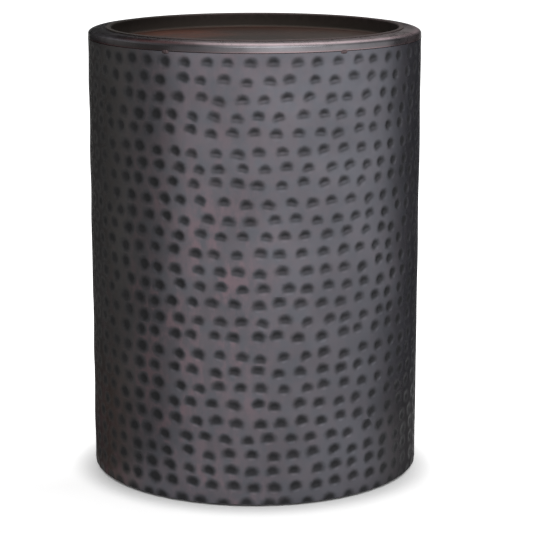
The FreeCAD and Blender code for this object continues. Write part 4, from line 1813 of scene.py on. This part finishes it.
@dataclass
class TrayPan:
    """The spun tray with the thin lip that hangs on the ledge."""

    sizes: TableSizes
    finishes: Finishes
    bend_radius: float = 3.0 * MM
    lip_bend: float = 1.4 * MM
    lip_rounding: float = 0.5 * MM
    lip_edge_rounding: float = 0.25 * MM  # of the lip's underside and of the bend below it
    steps: int = 240
    floor_rings: int = 26
    floor_start: float = 8 * MM  # the outside down to the first ring of the floor
    floor_end: float = 14 * MM  # radius of the last ring
    middle: float = 10 * MM  # radius of the disc in the middle
    unevenness: float = 0.05 * MM  # height of one wave
    waves: int = 7
    wave_lengths: tuple[float, float] = (70, 160)  # in millimetres
    calm_reach: float = 20 * MM  # over which the waves fade towards the floor's edge
    wear_reach: float = 3.4 * MM
    seed: int = 8

    def _floor_waves(self, azimuth: Array, radius: Array, height: Array) -> tuple[Array, Array]:
        """Slight waves of the floor, which fade towards its edge.

        Args:
            azimuth: Angles round the drum.
            radius: Distances from the axis.
            height: Heights above the floor.

        Returns:
            The changes of radius and of height.
        """
        draw = np.random.default_rng(self.seed)
        x, y = radius * np.sin(azimuth), radius * np.cos(azimuth)
        wave = np.zeros(height.shape)
        for _ in range(self.waves):
            heading = draw.uniform(0, math.tau)
            length = draw.uniform(*self.wave_lengths) * MM
            along = x * math.cos(heading) + y * math.sin(heading)
            wave += np.sin(math.tau * along / length + draw.uniform(0, PHASES))
        calm = rising(-radius, self.floor_start - self.sizes.hole_radius, self.calm_reach)
        return np.zeros(radius.shape), self.unevenness * wave * eased(calm)

    def build_pan(self) -> None:
        """Builds the pan."""
        outside = self.sizes.hole_radius - SLIP_FIT
        inside = outside - PAN_THICKNESS
        under = self.sizes.tray_underside
        floor = under + PAN_THICKNESS
        top, lip, rim = self.sizes.lip_top, self.sizes.lip_radius, self.sizes.rim_height
        corners = [
            (self.middle, under, 0.0),
            (outside, under, self.bend_radius + PAN_THICKNESS),
            (outside, rim, self.lip_edge_rounding),
            (lip, rim, self.lip_edge_rounding),
            (lip, top, self.lip_rounding),
            (inside, top, self.lip_bend),
            (inside, floor, self.bend_radius),
            (self.middle, floor, 0.0),
        ]
        outline = rounded_outline(corners, ROUNDING_STEPS, SUPPORT)
        spans = np.linspace(outside - self.floor_start, self.floor_end, self.floor_rings)
        below = np.stack([spans[::-1], np.full(self.floor_rings, under)], -1)
        above = np.stack([spans, np.full(self.floor_rings, floor)], -1)
        outline = np.vstack([outline[:1], below, outline[1:-1], above, outline[-1:]])
        pan = turned("tray_pan_spun", outline, self.steps, self._floor_waves, closed=False)
        out, up = profile(pan)
        from_lip = np.hypot(out - (lip + inside) / 2, up - top)
        set_share(pan, EDGE_WEAR_AND_HIGHLIGHT, np.sqrt(np.clip(1 - from_lip / self.wear_reach, 0, 1)))
        self.finishes.fit(pan, Slot.TRAY, "tray_pan")


# --- under the tray
@dataclass(frozen=True)
class UnderTray:
    """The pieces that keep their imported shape: bars, foot ring, hidden welds, glides and fasteners."""

    finishes: Finishes
    bars: tuple[str, ...] = ("cross_bar", "cross_bar_half_front", "cross_bar_half_back", "base_ring")
    welds: tuple[str, ...] = ("cross_bar_welds", "pan_tack_welds", "base_ring_welds")
    glides: tuple[str, ...] = ("glide_front_left", "glide_front_right", "glide_back_left", "glide_back_right")
    fasteners: tuple[str, ...] = ("glide_studs", "glide_washers", "glide_nuts")

    def dress_nodes(self) -> None:
        """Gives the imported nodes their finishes."""
        kinds = {
            Slot.BAR: self.bars,
            Slot.WELD: self.welds,
            Slot.GLIDE: self.glides,
            Slot.ZINC: self.fasteners,
        }
        for slot, nodes in kinds.items():
            for node in nodes:
                self.finishes.keep(node, slot)


# --- studio
@dataclass(frozen=True)
class Softbox:
    """A soft lamp that stands round the table and faces its axis."""

    name: str
    azimuth: float  # degrees
    brightness: float  # 1 is white
    width: float = 1.30
    height: float = 1.40
    distance: float = 1.5
    middle: float = 0.72  # height of its middle
    aim_height: float | None = None  # what it faces on the axis, or None for its own height

    def build(self) -> None:
        """Builds the lamp."""
        light = bpy.data.lights.new(self.name, "AREA")
        light.shape = "RECTANGLE"
        light.size, light.size_y = self.width, self.height
        light.energy = self.brightness * math.pi * self.width * self.height
        lamp = bpy.data.objects.new(self.name, light)
        bpy.context.scene.collection.objects.link(lamp)
        lamp.location = Vector(polar(self.distance, math.radians(self.azimuth), self.middle))
        aim = Vector((0, 0, self.middle if self.aim_height is None else self.aim_height)) - lamp.location
        lamp.rotation_euler = aim.to_track_quat("-Z", "Y").to_euler()
        lamp.visible_camera = False
        LOG.info("%s: brightness %.2f", self.name, self.brightness)


@dataclass(frozen=True)
class DarkCard:
    """A dark card that only reflections see: upright from end to end, or flat and square between them."""

    name: str
    start: tuple[float, float]  # one end, seen from above
    end: tuple[float, float]
    brightness: float
    bottom: float = 0.0
    top: float = 0.60
    colour: Colour = WHITE
    flat: bool = False

    def build(self) -> None:
        """Builds the card."""
        (x0, y0), (x1, y1) = self.start, self.end
        low, high = self.bottom, self.top
        points = [(x0, y0, low), (x1, y1, low), (x1, y1, high), (x0, y0, high)]
        if self.flat:
            points = [(x0, y0, low), (x1, y0, low), (x1, y1, low), (x0, y1, low)]
        card = make_object(self.name, np.array(points), [(0, 1, 2, 3)])
        sheet = NodeSheet(self.name)
        glow = sheet.node("ShaderNodeEmission")
        glow.inputs["Strength"].default_value = self.brightness
        sheet.feed(glow.inputs["Color"], self.colour)
        sheet.feed(sheet.output.inputs["Surface"], glow.outputs["Emission"])
        card.data.materials.append(sheet.owner)
        card.visible_camera = False
        card.visible_diffuse = False
        card.visible_shadow = False
        card.visible_transmission = False


@dataclass(frozen=True)
class Viewpoint:
    """The camera: in front of the table and a little above it."""

    distance: float = 2.0
    height: float = 0.643
    pitch: float = 12.33  # degrees below level
    focal_pixels: float = 1950.0
    picture_pixels: float = 533.0
    aside_pixels: float = 11.75  # the drum's axis lies this far left of the picture's middle
    sensor: float = 36.0

    def build(self) -> None:
        """Builds the camera and makes it the scene's."""
        lens = bpy.data.cameras.new("camera")
        lens.sensor_width = self.sensor
        lens.lens = self.sensor * self.focal_pixels / self.picture_pixels
        camera = bpy.data.objects.new("camera", lens)
        bpy.context.scene.collection.objects.link(camera)
        camera.location = (0.0, -self.distance, self.height)
        yaw = math.atan(self.aside_pixels / self.focal_pixels)
        camera.rotation_euler = (math.radians(90 - self.pitch), 0.0, -yaw)
        bpy.context.scene.camera = camera


@dataclass(frozen=True)
class Studio:
    """Pale floor and backdrop, soft lamps, dark cards and the camera."""

    floor_size: float = 40.0
    floor_colour: Colour = (0.80, 0.80, 0.80)
    floor_light: Colour = (0.816, 0.816, 0.816)
    floor_grain: Noise = Noise(0.02, 2.0, 0.5)
    foot_shadow_glow: Ramp = Ramp(0.168, 0.205, 0.0, 0.37)  # over the distance: none near the foot, which paints a ring of shadow there besides the real one
    back_glow: Ramp = Ramp(-0.12, 0.10, 0.0, 0.60)  # over Y: more where the lamps reach less
    far_glow: Ramp = Ramp(1.0, 2.0)  # over the distance: white further out
    ambient: float = 0.45
    lamps: tuple[Softbox, ...] = (
        Softbox("key_softbox", 22.0, 1.00, width=1.50),
        Softbox("left_softbox", -36.0, 0.50),
        Softbox("right_softbox", 74.0, 0.78),
        Softbox("top_softbox", 14.0, 2.4, height=0.95, distance=0.75, middle=1.50, aim_height=0.45),
        Softbox("back_softbox", 180.0, 1.1, width=2.20, distance=1.8, middle=0.80),
    )
    cards: tuple[DarkCard, ...] = (
        DarkCard("left_card", (-0.36, -0.32), (-0.32, 0.45), 0.36, colour=(1.0, 0.97, 0.90)),
        DarkCard("left_floor_card", (-0.36, -0.32), (-0.18, 0.45), 0.34, bottom=1 * MM, flat=True),
        DarkCard("right_card", (0.36, -0.03), (0.32, 0.45), 0.14),
        DarkCard("right_low_card", (0.37, -0.13), (0.36, -0.03), 0.45, top=0.13),
        DarkCard("back_card", (-0.75, 0.62), (0.75, 0.62), 0.15, bottom=0.47, top=0.92),
    )

    @staticmethod
    def _seen(sheet: NodeSheet) -> Socket:
        """Tells the rays that see the white backdrop.

        Args:
            sheet: Nodes of the floor or of the world.

        Returns:
            A socket that is 1 for a camera, glossy or transmission ray, and 0 for any other.
        """
        path = sheet.node("ShaderNodeLightPath").outputs
        rays = path["Is Camera Ray"], path["Is Glossy Ray"], path["Is Transmission Ray"]
        return sheet.math("MAXIMUM", *rays)

    def build_floor(self) -> None:
        """Builds the white floor, which keeps the table's shadow and adds a painted ring of it round the
        foot.
        """
        half = self.floor_size / 2
        points = np.array([(-half, -half, 0), (half, -half, 0), (half, half, 0), (-half, half, 0)], float)
        floor = make_object("floor", points, [(0, 1, 2, 3)])
        sheet = NodeSheet("floor_paper")
        paper = sheet.node("ShaderNodeBsdfDiffuse")
        grain = sheet.band(sheet.noise(self.floor_grain), SPREAD)
        sheet.feed(paper.inputs["Color"], sheet.mix(grain, self.floor_colour, self.floor_light))
        away = sheet.node("ShaderNodeVectorMath", operation="LENGTH")
        sheet.feed(away.inputs[0], sheet.place)
        distance = away.outputs["Value"]
        back = sheet.band(sheet.split(sheet.place)["Y"], self.back_glow)
        level = sheet.total(sheet.band(distance, self.foot_shadow_glow), back)
        level = sheet.math("MAXIMUM", level, sheet.band(distance, self.far_glow))
        glow = sheet.node("ShaderNodeEmission")
        sheet.feed(glow.inputs["Strength"], sheet.product(self._seen(sheet), level))
        both = sheet.node("ShaderNodeAddShader")
        sheet.feed(both.inputs[0], paper.outputs["BSDF"])
        sheet.feed(both.inputs[1], glow.outputs["Emission"])
        sheet.feed(sheet.output.inputs["Surface"], both.outputs["Shader"])
        floor.data.materials.append(sheet.owner)

    def build_world(self) -> None:
        """Makes the world white to the camera and in reflections, and plain elsewhere."""
        sheet = NodeSheet("backdrop", world=True)
        level = sheet.node("ShaderNodeBackground")
        sheet.feed(level.inputs["Color"], WHITE)
        sheet.feed(level.inputs["Strength"], sheet.band(self._seen(sheet), Ramp(0.0, 1.0, self.ambient, 1.0)))
        sheet.feed(sheet.output.inputs["Surface"], level.outputs["Background"])
        bpy.context.scene.world = sheet.owner

    def build(self) -> None:
        """Builds the whole studio."""
        bpy.context.scene.view_settings.view_transform = "Standard"
        self.build_world()
        self.build_floor()
        for item in (*self.lamps, *self.cards, Viewpoint()):
            item.build()


def main() -> None:
    """Builds the table and its studio."""
    logging.basicConfig(level=logging.INFO, format="%(name)s: %(message)s")
    Studio().build()
    sizes = TableSizes.from_frame()
    finishes = Finishes(sizes)
    drum = HammeredDrum(sizes, finishes)
    drum.build_wall()
    drum.build_seam_weld()
    rim = RimRing(sizes, finishes)
    rim.build_ring()
    rim.build_tacks()
    TrayPan(sizes, finishes).build_pan()
    UnderTray(finishes).dress_nodes()


if __name__ == "__main__":
    main()
